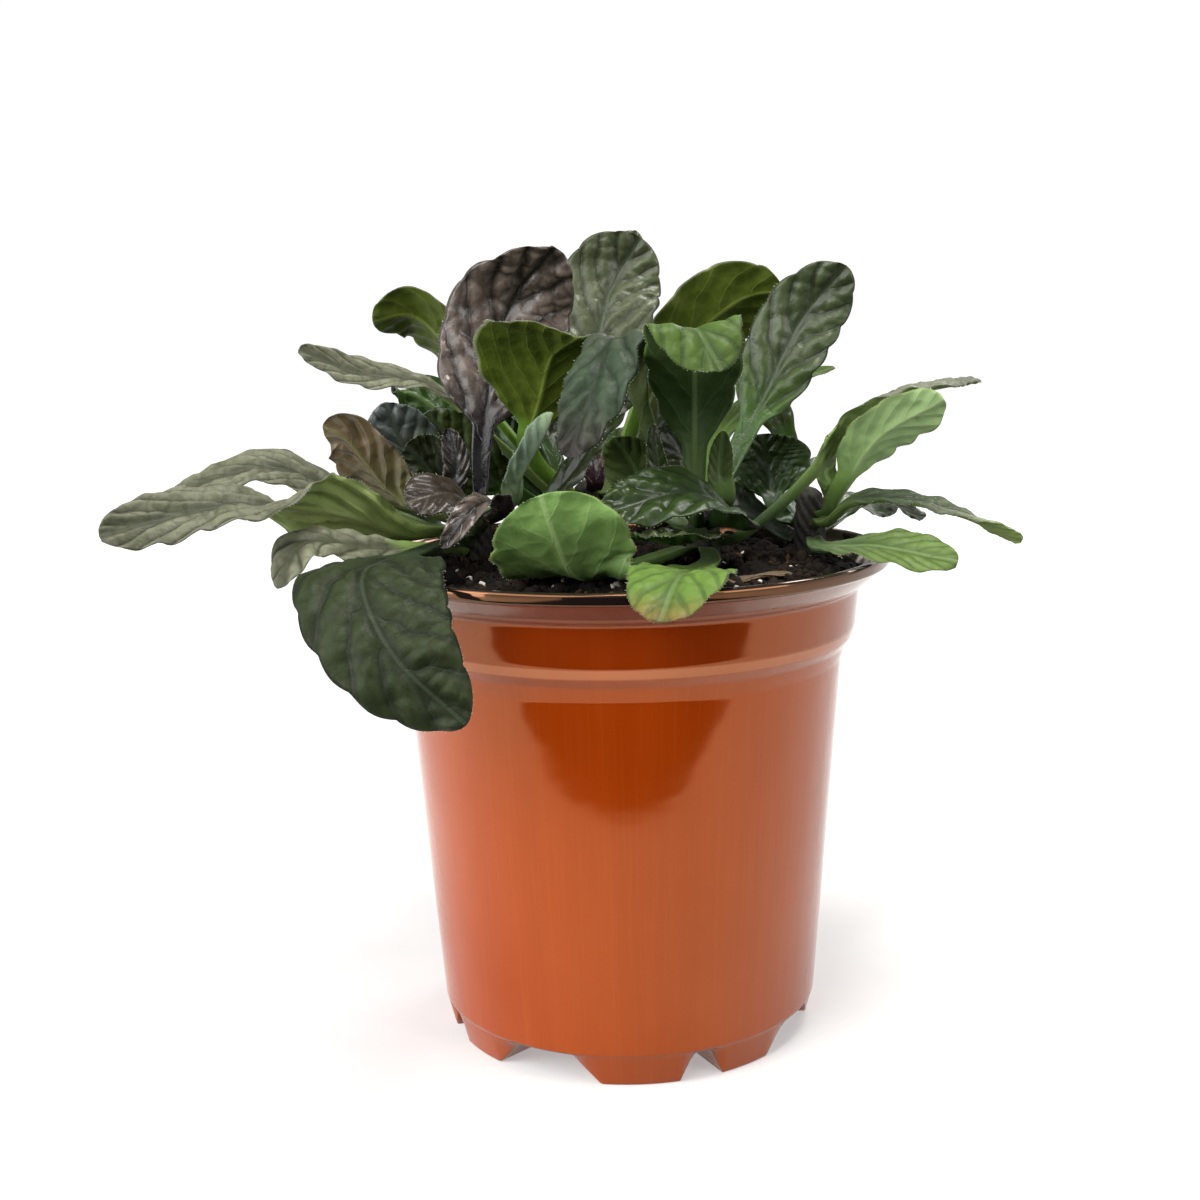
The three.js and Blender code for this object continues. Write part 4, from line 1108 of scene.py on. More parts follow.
# The leaves of each rosette, in the order of their numbers
LEAVES = {
    "left": (
        Leaf(2, Tone.GREY, ((-52, -10, 125), (-66, -20, 131), (-84, -36, 135), (-112, -52, 131)), half=12,
             stalk=0.14, fold=14, curl=-12, roll=(-50, -70, 20, 42), veins=(6, 2.5), value=0.84,
             tints=(Tint(0.2, 0.24, "#5c6238", 0.5, 1), Tint(0.3, 0.35, "#8f9c5c", 0.5, -1))),
        Leaf(1, Tone.GREY, ((-71, 8, 133), (-87, 2, 140), (-110, -8, 134)), half=(9, 10), stalk=0.24,
             curl=-20, roll=(10, 26, 30), veins=(6, 2.2), value=0.84),
        Leaf(0, Tone.GREY, ((-58, -24, 123.5), (-71, -36, 126), (-75, -44, 117)), half=8, fold=10, curl=-24,
             roll=(30, 20, 10), value=1.08),
        Leaf(1, Tone.MATT, ((-47, -30, 122.5), (-54, -55, 121.5), (-46, -69, 108), (-30, -73, 93)),
             half=(18, 15.5), stalk=0.32, fold=(12, -8), curl=(-14, -16), roll=(0, 8, 10, 10),
             shape=(0.42, 0.6), value=0.5, tints=(Tint(0.3, 0.3, "#1d2a17", 0.6, 1),)),
        Leaf(3, Tone.BRONZE, ((-55, 0, 133), (-61, -4, 141), (-66, -6, 148), (-72, -6, 151)), half=10,
             stalk=0.2, fold=14, curl=-20, roll=(-40, -50, -60, -60),
             tints=(Tint(0.8, 0.9, "#54432f", 0.9),)),
        Leaf(3, Tone.DARK, ((-50, 13, 133), (-56, 13, 146), (-59, 10, 156)), half=10.5, fold=14,
             curl=(30, -20), roll=(0, 20, 30), heading=120, tints=(Tint(1.0, 0.6, "#5b6066", 0.6),)),
        Leaf(2, Tone.BRONZE, ((-34, -12, 129), (-39, -19, 135), (-49, -27, 134)), half=9, stalk=0.26,
             fold=10, curl=-10, roll=(30, 35, 35), value=0.75, tints=(Tint(0.6, 1.0, "#2a221c", 0.7),)),
        Leaf(3, Tone.PURPLE, ((-28, -10, 130), (-32, -26, 133), (-40, -35, 124)), half=5, fold=20, curl=20,
             roll=(0, 10, 20), value=0.85),
        # Its stalk is tinted near black: partly its own dark purple, partly painted shade deep in the
        # rosette
        Leaf(5, Tone.PURPLE, ((-35, 12, 144), (-32, 20, 164), (-27, 22, 180), (-15, 14, 193)), half=(16, 18),
             stalk=0.28, fold=10, curl=-4, heading=95, shape=(0.5, 0.5), veins=(3.8, 1.4), value=0.95,
             tints=(Tint(0.2, 0.36, "#0b0707", 0.9),)),
        Leaf(4, Tone.GREY, ((-27, -4, 131), (-23, -12, 139), (-17, -14, 149), (-15, -12, 154)), half=5.5,
             fold=26, curl=20, value=1.3, tints=(Tint(0.7, 0.9, "#4d5c55", 0.85),)),
        Leaf(4, Tone.DARK, ((-44, 4, 132), (-48, 3, 140), (-53, 0, 146)), half=8.75, stalk=0.2, curl=-10,
             heading=130, value=0.42),
        Leaf(0, Tone.DARK, ((-50, 24, 122), (-68, 40, 127), (-84, 56, 120)), half=11, curl=-12),
        Leaf(2, Tone.DARK, ((-45, 24, 127), (-54, 42, 134), (-62, 58, 131)), half=10, curl=-10),
        Leaf(5, Tone.PURPLE, ((-40, -1, 141), (-42, 0, 150)), half=4.5, fold=20, curl=10, heading=100,
             value=0.25),
        Leaf(0, Tone.DARK, ((-13, 7, 136), (0, 10, 154), (5, 7, 159)), half=6.5, stalk=0.31, heading=50,
             value=0.45),
    ),
    "front": (
        Leaf(2, Tone.DARK, ((17, -21, 125), (12, -35, 125), (5, -43, 128)), half=11, stalk=0.24, curl=-10),
        Leaf(3, Tone.DARK, ((26, -19, 130), (16, -29, 135.5), (-4, -37, 132)), half=11, stalk=0.12, curl=-10,
             roll=(20, 30, 34), shape=(0.4, 0.5), value=0.62, tints=(Tint(0.6, 0.9, "#2f4a1c", 0.6),)),
        Leaf(0, Tone.BRIGHT, ((4, -26, 119), (-9, -41, 119), (-13, -50, 129), (-16, -52, 139)), half=17,
             stalk=0.4, fold=10, curl=-12, heading=-90, veins=(3.4, 1.1), value=1.1,
             tints=(Tint(0.4, 0.3, "#2f5519", 0.8), Tint(1.0, 0.4, "#6c8f4a", 0.6))),
        Leaf(0, Tone.BRIGHT, ((21, -26, 119.5), (17, -44, 120), (13, -62, 121), (9, -74, 114)), half=12,
             stalk=0.4, fold=8, curl=-6, value=0.8,
             tints=(Tint(0.75, 0.5, "#6c8f3a", 0.6), Tint(1.0, 0.14, "#8a7040", 0.8))),
        Leaf(4, Tone.GREY, ((6, -2, 152), (0, -10, 170), (-5, -24, 159), (-11, -28, 143)), half=(10, 9.5),
             stalk=0.34, fold=8, curl=-16, roll=(0, 0, 20, 20), value=0.36,
             tints=(Tint(0.75, 0.35, "#486447", 0.8), Tint(1.0, 0.16, "#55484a", 0.8))),
        Leaf(3, Tone.BRIGHT, ((18, -13, 152), (18, -21, 165), (18, -28, 172), (24, -35, 162)), half=12.5,
             fold=10, curl=-6, heading=-90, value=0.58, tints=(Tint(0.45, 0.4, "#1c330c", 0.85, -1),
             Tint(0.8, 0.3, "#5d8030", 0.6, 1))),
        Leaf(5, Tone.DARK, ((28, 6, 140), (36, 14, 155), (46, 18, 174), (57, 14, 187)), half=11.5,
             stalk=0.34, heading=80, value=0.98,
             tints=(Tint(0.35, 0.3, "#3f5f26", 0.6), Tint(0.8, 0.4, "#56604a", 0.4, 1))),
        Leaf(1, Tone.GREY, ((27, -13, 123), (41, -4, 132), (55, 2, 145), (67, 6, 154), (89, 6, 158)), half=9,
             stalk=0.4, roll=(20, 30, 40, 10, 0), veins=(9, 2.4),
             tints=(Tint(0.15, 0.5, "#2a3f18", 0.95), Tint(1.0, 0.4, "#5f6258", 0.6, 1))),
        Leaf(2, Tone.BRIGHT, ((6, 5, 134), (2, 4, 141), (-2, 0, 147)), half=8, heading=90, value=0.6),
        Leaf(5, Tone.DARK, ((10, -10, 137), (8, -12, 151)), half=3.4, fold=20, curl=10, heading=90),
        Leaf(4, Tone.BRIGHT, ((21, 14, 134), (28, 28, 147), (38, 35, 154), (57, 38, 161)), half=7,
             stalk=0.46, value=0.85),
        Leaf(5, Tone.BRIGHT, ((24, -8, 138), (25, -9, 149)), half=4, fold=20, curl=10, heading=90,
             value=0.6),
    ),
    "right": (
        Leaf(3, Tone.BRIGHT, ((53, 1, 132), (62, -6, 146), (77, -11, 155)), half=(10, 9), roll=(30, 40, 40),
             value=1.5, tints=(Tint(0.8, 0.6, "#a3bd86", 0.6, -1),)),
        Leaf(2, Tone.GREY, ((50, -3, 125.5), (56, -9, 131), (73, -16, 130), (94, -20, 122)), half=7,
             stalk=0.24, curl=-10, roll=(-10, -20, 0, 40), veins=(8, 2.2),
             tints=(Tint(0.45, 0.55, "#26361d", 0.9, 1), Tint(0.8, 0.8, "#7f9a58", 0.7, -1),
             Tint(1.0, 0.3, "#6d8447", 0.85, 1))),
        Leaf(0, Tone.BRIGHT, ((48, -10, 120), (58, -23, 122), (77, -32, 119)), half=8.5, stalk=0.36, fold=8,
             curl=-6, roll=(-10, -20, -20), veins=(6, 1.6), value=0.95,
             tints=(Tint(0.3, 0.5, "#56694a", 0.8), Tint(0.95, 0.45, "#627a3c", 0.7))),
        Leaf(2, Tone.DARK, ((39, 12, 127), (37, 18, 137), (36, 18, 146)), half=12.5, stalk=0.34, heading=90,
             value=0.85, tints=(Tint(0.6, 0.9, "#22400f", 0.7),)),
        Leaf(4, Tone.DARK, ((42, 22, 144), (35, 27, 160), (36, 25, 171)), half=6, stalk=0.4, heading=90),
        Leaf(0, Tone.DARK, ((55, 27, 122), (64, 45, 126), (72, 62, 118)), half=10),
        Leaf(1, Tone.DARK, ((45, 34, 126), (43, 58, 133), (47, 84, 125)), half=12),
        Leaf(2, Tone.DARK, ((58, 20, 127), (68, 25, 127), (79, 29, 121)), half=8, curl=-10),
        Leaf(5, Tone.BRIGHT, ((51, 9, 136), (52, 10, 144)), half=3.5, fold=20, curl=10, heading=90),
        Leaf(0, Tone.DARK, ((29, 22, 129), (14, 33, 139), (4, 38, 142)), half=10, stalk=0.28, heading=70,
             value=0.5),
    ),
    "rear": (
        Leaf(3, Tone.GREY, ((-33, 33, 143), (-50, 26, 158), (-69, 18, 163), (-81, 12, 169)), half=7.5,
             stalk=0.34, fold=14, curl=-10, roll=(0, 20, 40, 40), veins=(7, 2.0)),
        Leaf(4, Tone.OLIVE, ((-35, 40, 151), (-46, 43, 167), (-56, 43, 177), (-67, 40, 175)), half=(12, 13),
             stalk=0.4, fold=10, curl=-10, roll=(0, -30, -50, -50), heading=180, shape=(0.5, 0.5),
             value=1.55),
        Leaf(5, Tone.DARK, ((-9, 44, 153), (-6, 52, 172), (-2, 58, 185), (6, 58, 197)), half=15.5, stalk=0.4,
             heading=90, value=1.05, tints=(Tint(0.75, 0.8, "#5e6052", 0.35, 1),)),
        Leaf(3, Tone.DARK, ((-4, 54, 150), (-4, 68, 180), (3, 82, 200)), half=9, stalk=0.46, heading=90),
        Leaf(3, Tone.OLIVE, ((5, 32, 152), (19, 27, 170), (31, 24, 179), (42, 21, 181)), half=14, stalk=0.34,
             curl=-10, roll=(0, 40, 50, 50), heading=-20, value=1.7),
        Leaf(4, Tone.OLIVE, ((-24, 20, 142), (-20, 11, 155), (-16, 2, 166), (-9, -9, 171)),
             half=(18.5, 20.5), stalk=0.42, heading=-90, shape=(1, 0.5), value=2.25),
        Leaf(1, Tone.DARK, ((-31, 27, 132), (-43, 22, 143), (-50, 19, 153)), half=11, stalk=0.4, curl=-10,
             roll=(0, 10, 10), heading=95),
        Leaf(0, Tone.DARK, ((-26, 60, 128), (-38, 80, 138), (-50, 100, 128)), half=12, curl=-12),
        Leaf(1, Tone.DARK, ((-6, 62, 132), (-4, 86, 142), (0, 110, 130)), half=12, curl=-12),
        Leaf(0, Tone.DARK, ((8, 50, 124), (20, 74, 131), (28, 96, 121)), half=12, curl=-12),
        Leaf(4, Tone.GREY, ((8, 44, 158), (20, 47, 174), (30, 46, 182), (41, 44, 183)), half=(9, 8),
             stalk=0.4, heading=60),
        Leaf(2, Tone.DARK, ((-22, 52, 144), (-30, 66, 160), (-36, 78, 166)), half=11, stalk=0.34, curl=-10,
             value=0.6),
        Leaf(2, Tone.DARK, ((8, 52, 144), (18, 66, 160), (26, 80, 166)), half=11, stalk=0.34, curl=-10),
        Leaf(5, Tone.PURPLE, ((-8, 30, 142), (-8, 29, 151)), half=4, fold=20, curl=10, heading=90),
        Leaf(1, Tone.DARK, ((-31, 37, 136), (-57, 41, 156), (-63, 42, 156)), half=9, stalk=0.42, heading=-90,
             value=0.8),
        Leaf(1, Tone.DARK, ((-21, 46, 130), (-32, 58, 141), (-35, 60, 149)), half=8, stalk=0.32, heading=-90,
             value=0.7),
    ),
}


class Midrib:
    """A smooth curve through a leaf's seat, its shoulder and its midrib points."""

    def __init__(self, points: Sequence[np.ndarray], samples: int = 1200) -> None:
        """Measures the curve.

        Args:
            points: The points that it goes through.
            samples: How many short steps its length is measured in.
        """
        self.points = np.array(points, dtype=float)
        self.ahead = 2 * self.points[0] - self.points[1]
        self.beyond = 2 * self.points[-1] - self.points[-2]
        self.turns = np.linspace(0, 1, samples + 1)
        steps = np.linalg.norm(np.diff(self.place(self.turns), axis=0), axis=1)
        self.lengths = np.concatenate([[0], np.cumsum(steps)])
        self.length = float(self.lengths[-1])

    def place(self, turn: np.ndarray) -> np.ndarray:
        """Points of the curve.

        Args:
            turn: Where they are, if the points that it goes through are evenly spread from 0 to 1.

        Returns:
            One row for each point.
        """
        last = len(self.points) - 1
        k = np.minimum((turn * last).astype(int), last - 1)
        w = (turn * last - k)[:, None]
        every = np.vstack([self.ahead, self.points, self.beyond])
        p0, p1, p2, p3 = every[k], every[k + 1], every[k + 2], every[k + 3]
        gaps = (np.linalg.norm(b - a, axis=1) for a, b in ((p0, p1), (p1, p2), (p2, p3)))
        d0, d1, d2 = (np.sqrt(gap)[:, None] for gap in gaps)
        t1 = ((p1 - p0) / d0 - (p2 - p0) / (d0 + d1) + (p2 - p1) / d1) * d1
        t2 = ((p2 - p1) / d1 - (p3 - p1) / (d1 + d2) + (p3 - p2) / d2) * d1
        bend, twist = -3 * p1 + 3 * p2 - 2 * t1 - t2, 2 * p1 - 2 * p2 + t1 + t2
        return p1 + t1 * w + bend * w ** 2 + twist * w ** 3

    def course(self, share: np.ndarray) -> tuple[np.ndarray, np.ndarray]:
        """Points and unit directions at shares of the length.

        Args:
            share: The shares, from 0 to 1.

        Returns:
            The points and the directions, one row each.
        """
        turn, small = np.interp(share * self.length, self.lengths, self.turns), 1e-4
        direction = self.place(np.minimum(turn + small, 1)) - self.place(np.maximum(turn - small, 0))
        return self.place(turn), direction / np.linalg.norm(direction, axis=1, keepdims=True)

    def stops(self) -> np.ndarray:
        """Share of the length at which each of the curve's points lies."""
        even = np.linspace(0, 1, len(self.points))
        return np.interp(even, self.turns, self.lengths) / self.length


@dataclass
class Foliage:
    """Everything that all the leaves share, and the making of each."""

    stalk_half: Pair = (1.7, 2.9)
    stalk_thickness: float = 1.7
    blade_thickness: float = 0.55
    thinning: float = 0.2
    shoulder: Pair = (2.6, 1)
    seat_gap: float = 0.1
    wave: float = 0.7
    waves: float = 9
    wave_lag: float = 2.2
    channel: float = 0.7  # depth of the groove along the stalk
    keel: float = 0.55  # height of the midrib on the underside
    keel_half: float = 1.1
    tip_inset: float = 0.8  # the blade ends this much short of its path, so its hairs end with it
    taper: float = 0.2  # share of the blade's length over which it widens from its stalk
    painted_crown_shade: float = 0.45  # brightness of a stalk at the crown: painted shade that darkens it there
    crown_shade_reach: float = 0.38  # share of the leaf's length over which that painted shade fades
    crowding: float = 1.3  # how strongly rows crowd towards the tip
    lobe_depth: float = 0.9
    lobe_length: float = 8.5
    lobe_blunt: float = 0.65
    lobe_level: float = 0.72  # share of the depth that lies inside the plain outline
    lobe_lag: float = 1.1  # radians from the lobes of the left margin to those of the right
    lobe_full: float = 7  # half width from which lobes have their full depth
    ruffle: float = 0.45  # height of the margin's ripple between two lobes
    ruffle_full: float = 6  # half width from which it is so high
    vein_lag: float = 0.45  # share of a spacing from a vein of the left half to its partner
    vein_bow: float = 0.35  # how much more the veins gain near the margin
    blade_onset: float = 0.16  # share of the blade over which the stalk's finish goes over into its own
    sway: float = 1.6  # height of the slow swells of a full-sized blade
    swell: float = 14  # millimetres across one of them
    hair_length: float = 0.3
    hair_spacing: float = 0.9
    full_half: float = 12  # half width from which a blade has its full relief
    stalk_rows: int = 16
    blade_rows: int = 78
    columns: tuple[float, ...] = (
        0.03, 0.07, 0.12, 0.18, 0.25, 0.33, 0.41, 0.5, 0.59, 0.68, 0.77, 0.86, 0.94, 1.0)

    def build_tree(self) -> Tree:
        """Builds the tree that quilts a blade between its veins and sets hairs on its margin.

        Returns:
            The tree.
        """
        tree, given = new_geometry_tree("quilted blade", {
            "Quilt Height": ("Float", 0.5), "Net Height": ("Float", 0.2), "Sway": ("Float", 0.6),
            "Net Meshes": ("Float", 0.24), "Hair Length": ("Float", 0.5), "Hair Spacing": ("Float", 1.0),
            "Seed": ("Int", 0), "Blade": ("Material", None), "Hair": ("Material", None)})
        put = partial(add, tree)
        seed, quilt = given["Seed"], given["Quilt Height"]
        across, along, rank, rim, blade = (
            put(STORED, label) for label in ("across", "along", "rank", "rim", "blade"))
        lines = Venation(tree, across, along, rank, given["Net Meshes"])
        pillow, mesh_of_net, off_midrib = (
            put(SMOOTH_RAMP, line, near, far, 0.0, 1.0) for line, near, far in (
                (lines.lateral, 0.0, 0.42), (lines.net, 0.0, 0.42), (lines.from_midrib, 0.2, 2.4)))
        at_rim = put(RAMP, rim, 0.75, 1.0, 1.0, 0.25)
        relief = put(TIMES_PLUS, mesh_of_net, given["Net Height"], put(TIMES, pillow, quilt))
        relief = put(TIMES_PLUS, quilt, -0.5, relief)
        relief = put(TIMES, put(TIMES, relief, off_midrib), at_rim)
        seeded = put(VECTOR_PLUS, lines.place, put(JOIN_XYZ, Z=seed))
        slow = put(NOISE, Vector=seeded, Scale=1 / self.swell, Detail=1.0)
        relief = put(TIMES_PLUS, put(MINUS, slow, 0.5), given["Sway"], relief)
        metres = put(TIMES, put(TIMES, relief, blade), MM)
        offset = put(STRETCHED, put(STORED_VECTOR, "upwards"), metres)
        quilted = put("GeometryNodeSetPosition", Geometry=given["Geometry"], Offset=offset)
        leaf = put("GeometryNodeSetMaterial", Geometry=quilted, Material=given["Blade"])

        margin = put("GeometryNodeMeshToCurve", Mesh=quilted, Selection=put(ABOVE, rim, 0.995))
        spots = put("GeometryNodeCurveToPoints", output="Points", mode="LENGTH", Curve=margin,
                    Length=put(TIMES, given["Hair Spacing"], MM))
        stray = put(RANDOM_VECTOR, (-0.7, -0.7, -0.7), (0.7, 0.7, 0.7), Seed=seed)
        towards = put(VECTOR_PLUS, put(STORED_VECTOR, "outwards"), stray)
        turn = put("FunctionNodeAlignRotationToVector", axis="Z", Vector=towards)
        hair = put("GeometryNodeMeshCone", output="Mesh", Vertices=3, Radius_Top=0.008 * MM,
                   Radius_Bottom=0.035 * MM, Depth=put(TIMES, given["Hair Length"], MM))
        size = put(RANDOM, 0.5, 1.4, Seed=seed)
        hairs = put("GeometryNodeInstanceOnPoints", Points=spots, Instance=hair, Rotation=turn, Scale=size)
        joined = put("GeometryNodeJoinGeometry", made_real(tree, hairs, given["Hair"]))
        fill(joined.node, {0: leaf})
        put("NodeGroupOutput", joined)
        return tree

    def midrib(self, crown: Crown, leaf: Leaf) -> Midrib:
        """Leads a leaf's midrib from its crown.

        Args:
            crown: The crown that the leaf grows from.
            leaf: Its course and shape.

        Returns:
            The midrib's curve.
        """
        height = crown.tier_height(leaf.tier)
        centre = np.array([*crown.centre, height])
        out = np.array(leaf.path[0]) - centre
        out[2] = 0
        out /= np.linalg.norm(out)
        seat = centre + out * (crown.radius_at(height) + self.seat_gap)
        shoulder = seat + out * self.shoulder[0] + np.array([0, 0, self.shoulder[1]])
        return Midrib([seat, shoulder, *map(np.array, leaf.path)])

    @staticmethod
    def directions(curve: Midrib, leaf: Leaf, at: np.ndarray) -> tuple[np.ndarray, np.ndarray]:
        """Which way the blade lies along its midrib, with the leaf's roll.

        Args:
            curve: The midrib.
            leaf: The leaf.
            at: Shares of the length.

        Returns:
            Unit directions across the blade, to the right, and out of its upper face, one row each.
        """
        _, along = curve.course(at)
        span = curve.points[-1] - curve.points[0]
        lean = math.atan2(span[1], span[0]) if leaf.heading is None else math.radians(leaf.heading)
        level = np.array([math.sin(lean), -math.cos(lean), 0.0])
        side = level - along * (along @ level)[:, None]
        side /= np.linalg.norm(side, axis=1, keepdims=True)
        up = np.cross(side, along)
        if not leaf.roll:
            return side, up
        stops, turns = curve.stops(), np.array([0, 0, *leaf.roll], dtype=float)
        k = np.clip(np.searchsorted(stops, at, side="left") - 1, 0, len(stops) - 2)
        share = smoothstep((at - stops[k]) / (stops[k + 1] - stops[k]), 0, 1)
        roll = np.radians(turns[k] + (turns[k + 1] - turns[k]) * share)[:, None]
        return side * np.cos(roll) + up * np.sin(roll), up * np.cos(roll) - side * np.sin(roll)

    def blade_outline(self, b: np.ndarray, shape: Pair) -> np.ndarray:
        """Half width of a blade along its length.

        Args:
            b: Shares of the blade's length.
            shape: How it widens from the stalk and how it rounds off at the tip.

        Returns:
            Shares of the full half width.
        """
        widening, rounding = shape
        widest = widening / (widening + rounding)
        peak = widest ** widening * (1 - widest) ** rounding
        start = np.minimum(1, b / self.taper)
        return b ** widening * (1 - b) ** rounding / peak * start * (2 - start)

    def skin(self, name: str, crown: Crown, leaf: Leaf) -> bpy.types.Object:
        """Makes a leaf's smooth closed skin, with the values that its relief and its finish read.

        Args:
            name: The piece's name.
            crown: The crown that it grows from.
            leaf: Its course and shape.

        Returns:
            The piece.
        """
        curve = self.midrib(crown, leaf)
        # Rows crowd towards the tip. A ring runs over the upper face and back along the underside
        b_rows = 1 - (1 - np.arange(self.blade_rows) / self.blade_rows) ** self.crowding
        blade_share = 1 - self.tip_inset / curve.length - leaf.stalk
        at = np.concatenate([leaf.stalk * np.arange(self.stalk_rows) / self.stalk_rows,
                             leaf.stalk + blade_share * b_rows])
        centre, _ = curve.course(at)
        across, normal = (way[:, None] for way in self.directions(curve, leaf, at))
        inwards = list(reversed(self.columns[:-1]))
        upper = np.array([-1, *(-s for s in inwards), 0, *self.columns])
        lower = np.array([*inwards, 0, *(-s for s in self.columns[:-1])])
        u = np.concatenate([upper, lower])[None]
        face = np.concatenate([np.ones(len(upper)), -np.ones(len(lower))])[None]
        share, hand, sign = np.abs(u), (u > 0).astype(int), np.where(u < 0, -1.0, 1.0)

        # Width of the stalk and the blade, with the margin's lobes
        b = np.clip((at - leaf.stalk) / blade_share, 0, 1)[:, None]
        narrow, wide = self.stalk_half
        stalk = (narrow + (wide - narrow) * np.minimum(1, at / leaf.stalk))[:, None]
        broad = np.minimum(1, b / self.thinning)
        thickness = self.stalk_thickness + (self.blade_thickness - self.stalk_thickness) * broad
        halves, folds, curls = (both_sides(size)[hand] for size in (leaf.half, leaf.fold, leaf.curl))
        width = stalk * np.sqrt(1 - b) + (halves - stalk) * self.blade_outline(b, leaf.shape)
        arc = at[:, None] * curve.length
        lobe_turn = math.pi * arc / self.lobe_length + hand * self.lobe_lag + leaf.tier
        lobe = self.lobe_depth * (np.abs(np.sin(lobe_turn)) ** self.lobe_blunt - self.lobe_level)
        lobe = lobe * broad * np.minimum(1, width / self.lobe_full)
        q = share + lobe / np.maximum(width, 0.3) * share ** 4
        from_midrib = width * q

        # Each half of the blade is an arc that starts at the fold's slope and bends by the curl
        fold, curl = broad * np.radians(folds), broad * np.radians(curls)
        curl = np.where(np.abs(curl) < 1e-4, 1e-4, curl)
        slope = fold + curl * q
        sideways = width * (np.sin(slope) - np.sin(fold)) / curl
        rise = width * (np.cos(fold) - np.cos(slope)) / curl
        phase = self.waves * at[:, None] + self.wave_lag * hand + leaf.tier
        rise = rise + broad * self.wave * share ** 2 * np.sin(phase)
        ripple = broad * self.ruffle * share ** 3 * np.sin(2 * lobe_turn + 0.7)
        rise = rise + ripple * np.minimum(1, width / self.ruffle_full)
        rise = rise + (1 - broad) * self.channel * (share ** 2 - 0.35)

        # The two faces lie half a thickness off, with the keel and the stalk's round back below
        body = (thickness / 2) * np.sqrt(np.maximum(0, 1 - share ** 3))
        ridge = self.keel * np.sqrt(1 - b) * np.exp(-(from_midrib / self.keel_half) ** 2) * broad
        underneath = (1 - broad) * 0.5 * (1 - share ** 2)
        off = np.where(face > 0, body - 0.35 * ridge, -body - ridge - underneath)
        off = np.where(share >= 1, 0, off)
        points = centre[:, None] + across * (sign * sideways)[..., None] + normal * (rise + off)[..., None]
        tip, _ = curve.course(np.array([leaf.stalk + blade_share]))
        skin = np.vstack([curve.points[:1], points.reshape(-1, 3), tip])

        cosine, sine = np.cos(slope)[..., None], np.sin(slope)[..., None]
        hands = sign[..., None]
        ways = {"upwards": normal * cosine - across * hands * sine,
                "outwards": across * hands * cosine + normal * sine}
        along = arc - leaf.stalk * curve.length
        pairs, gain = leaf.veins
        spacing = (1 - leaf.stalk) * curve.length / pairs
        reach = from_midrib * gain * (1 + self.vein_bow * q)
        rank = (along - reach) / spacing + self.vein_lag * hand * np.minimum(1, share * 20)
        # Painted shade: each leaf's value darkens towards the crown
        clear = smoothstep(at, 0, self.crown_shade_reach)[:, None]
        shaded_value = leaf.value * (self.painted_crown_shade + (1 - self.painted_crown_shade) * clear)
        values = {
            "across": sign * from_midrib, "along": along, "rank": rank, "rim": share * broad,
            "side": np.where(share >= 1, 0, face), "blade": smoothstep(b, 0.0, self.blade_onset),
            "value": shaded_value}
        first = {"side": 1, "value": shaded_value[0, 0]}
        for label, numbers in values.items():
            numbers = np.broadcast_to(numbers, rank.shape)
            values[label] = np.concatenate([[first.get(label, 0)], numbers.ravel(), [numbers[-1, 0]]])
        values["tint"] = self.tints(leaf, at, face)
        for label, vectors in ways.items():
            values[label] = np.vstack([normal[0], vectors.reshape(-1, 3), normal[-1]])
        return new_piece(name, skin, ring_faces(*rank.shape), values)

    @staticmethod
    def tints(leaf: Leaf, at: np.ndarray, face: np.ndarray) -> np.ndarray:
        """Colours of a leaf's tinted stretches.

        Args:
            leaf: The leaf.
            at: Share of the length at each ring.
            face: 1 or -1 at each point of a ring, for the upper face and the underside.

        Returns:
            A linear colour for each point, with the tint's strength as alpha.
        """
        cover = np.zeros((len(at), face.shape[1]))
        colour = np.zeros((*cover.shape, 3))
        for tint in leaf.tints:
            weight = tint.strength * (1 - smoothstep(np.abs(at - tint.at), 0, tint.reach))[:, None]
            on_side = 1.0 if tint.side == 0 else (face == tint.side).astype(float)
            weight = np.broadcast_to(weight * on_side, cover.shape)
            whole = weight + cover * (1 - weight)
            mix = np.where(whole > 0, weight / np.maximum(whole, 1e-6), 0)[..., None]
            colour = colour * (1 - mix) + np.array(linear(tint.colour)[:3]) * mix
            cover = whole
        values = np.concatenate([colour, cover[..., None]], -1).reshape(-1, 4)
        return np.vstack([values[:1], values, values[-1:]])

    def build(self) -> None:
        """Makes every leaf and puts it in its node's place."""
        tree = self.build_tree()
        finishes = {tone: finish.build() for tone, finish in LEAF_FINISHES.items()}
        hair = LeafHair().build()
        leaves = [(side, number, leaf) for side, rosette in LEAVES.items()
                  for number, leaf in enumerate(rosette, 1)]
        for seed, (side, number, leaf) in enumerate(leaves):
            piece = self.skin(f"leaf_{side}_{number}", CROWNS[side], leaf)
            size = min(1.0, max(both_sides(leaf.half)) / self.full_half)
            kind = LEAF_FINISHES[leaf.tone]
            quilt, net = (height * size for height in kind.relief)
            grow(piece, tree, {
                "Quilt Height": quilt, "Net Height": net, "Sway": self.sway * size,
                "Net Meshes": 1 / kind.cell, "Hair Length": self.hair_length,
                "Hair Spacing": self.hair_spacing, "Seed": seed, "Blade": finishes[leaf.tone],
                "Hair": hair})
            finish_piece(piece, leaf.tone.value.partition(",")[0], f"{side}_leaf_{number}")


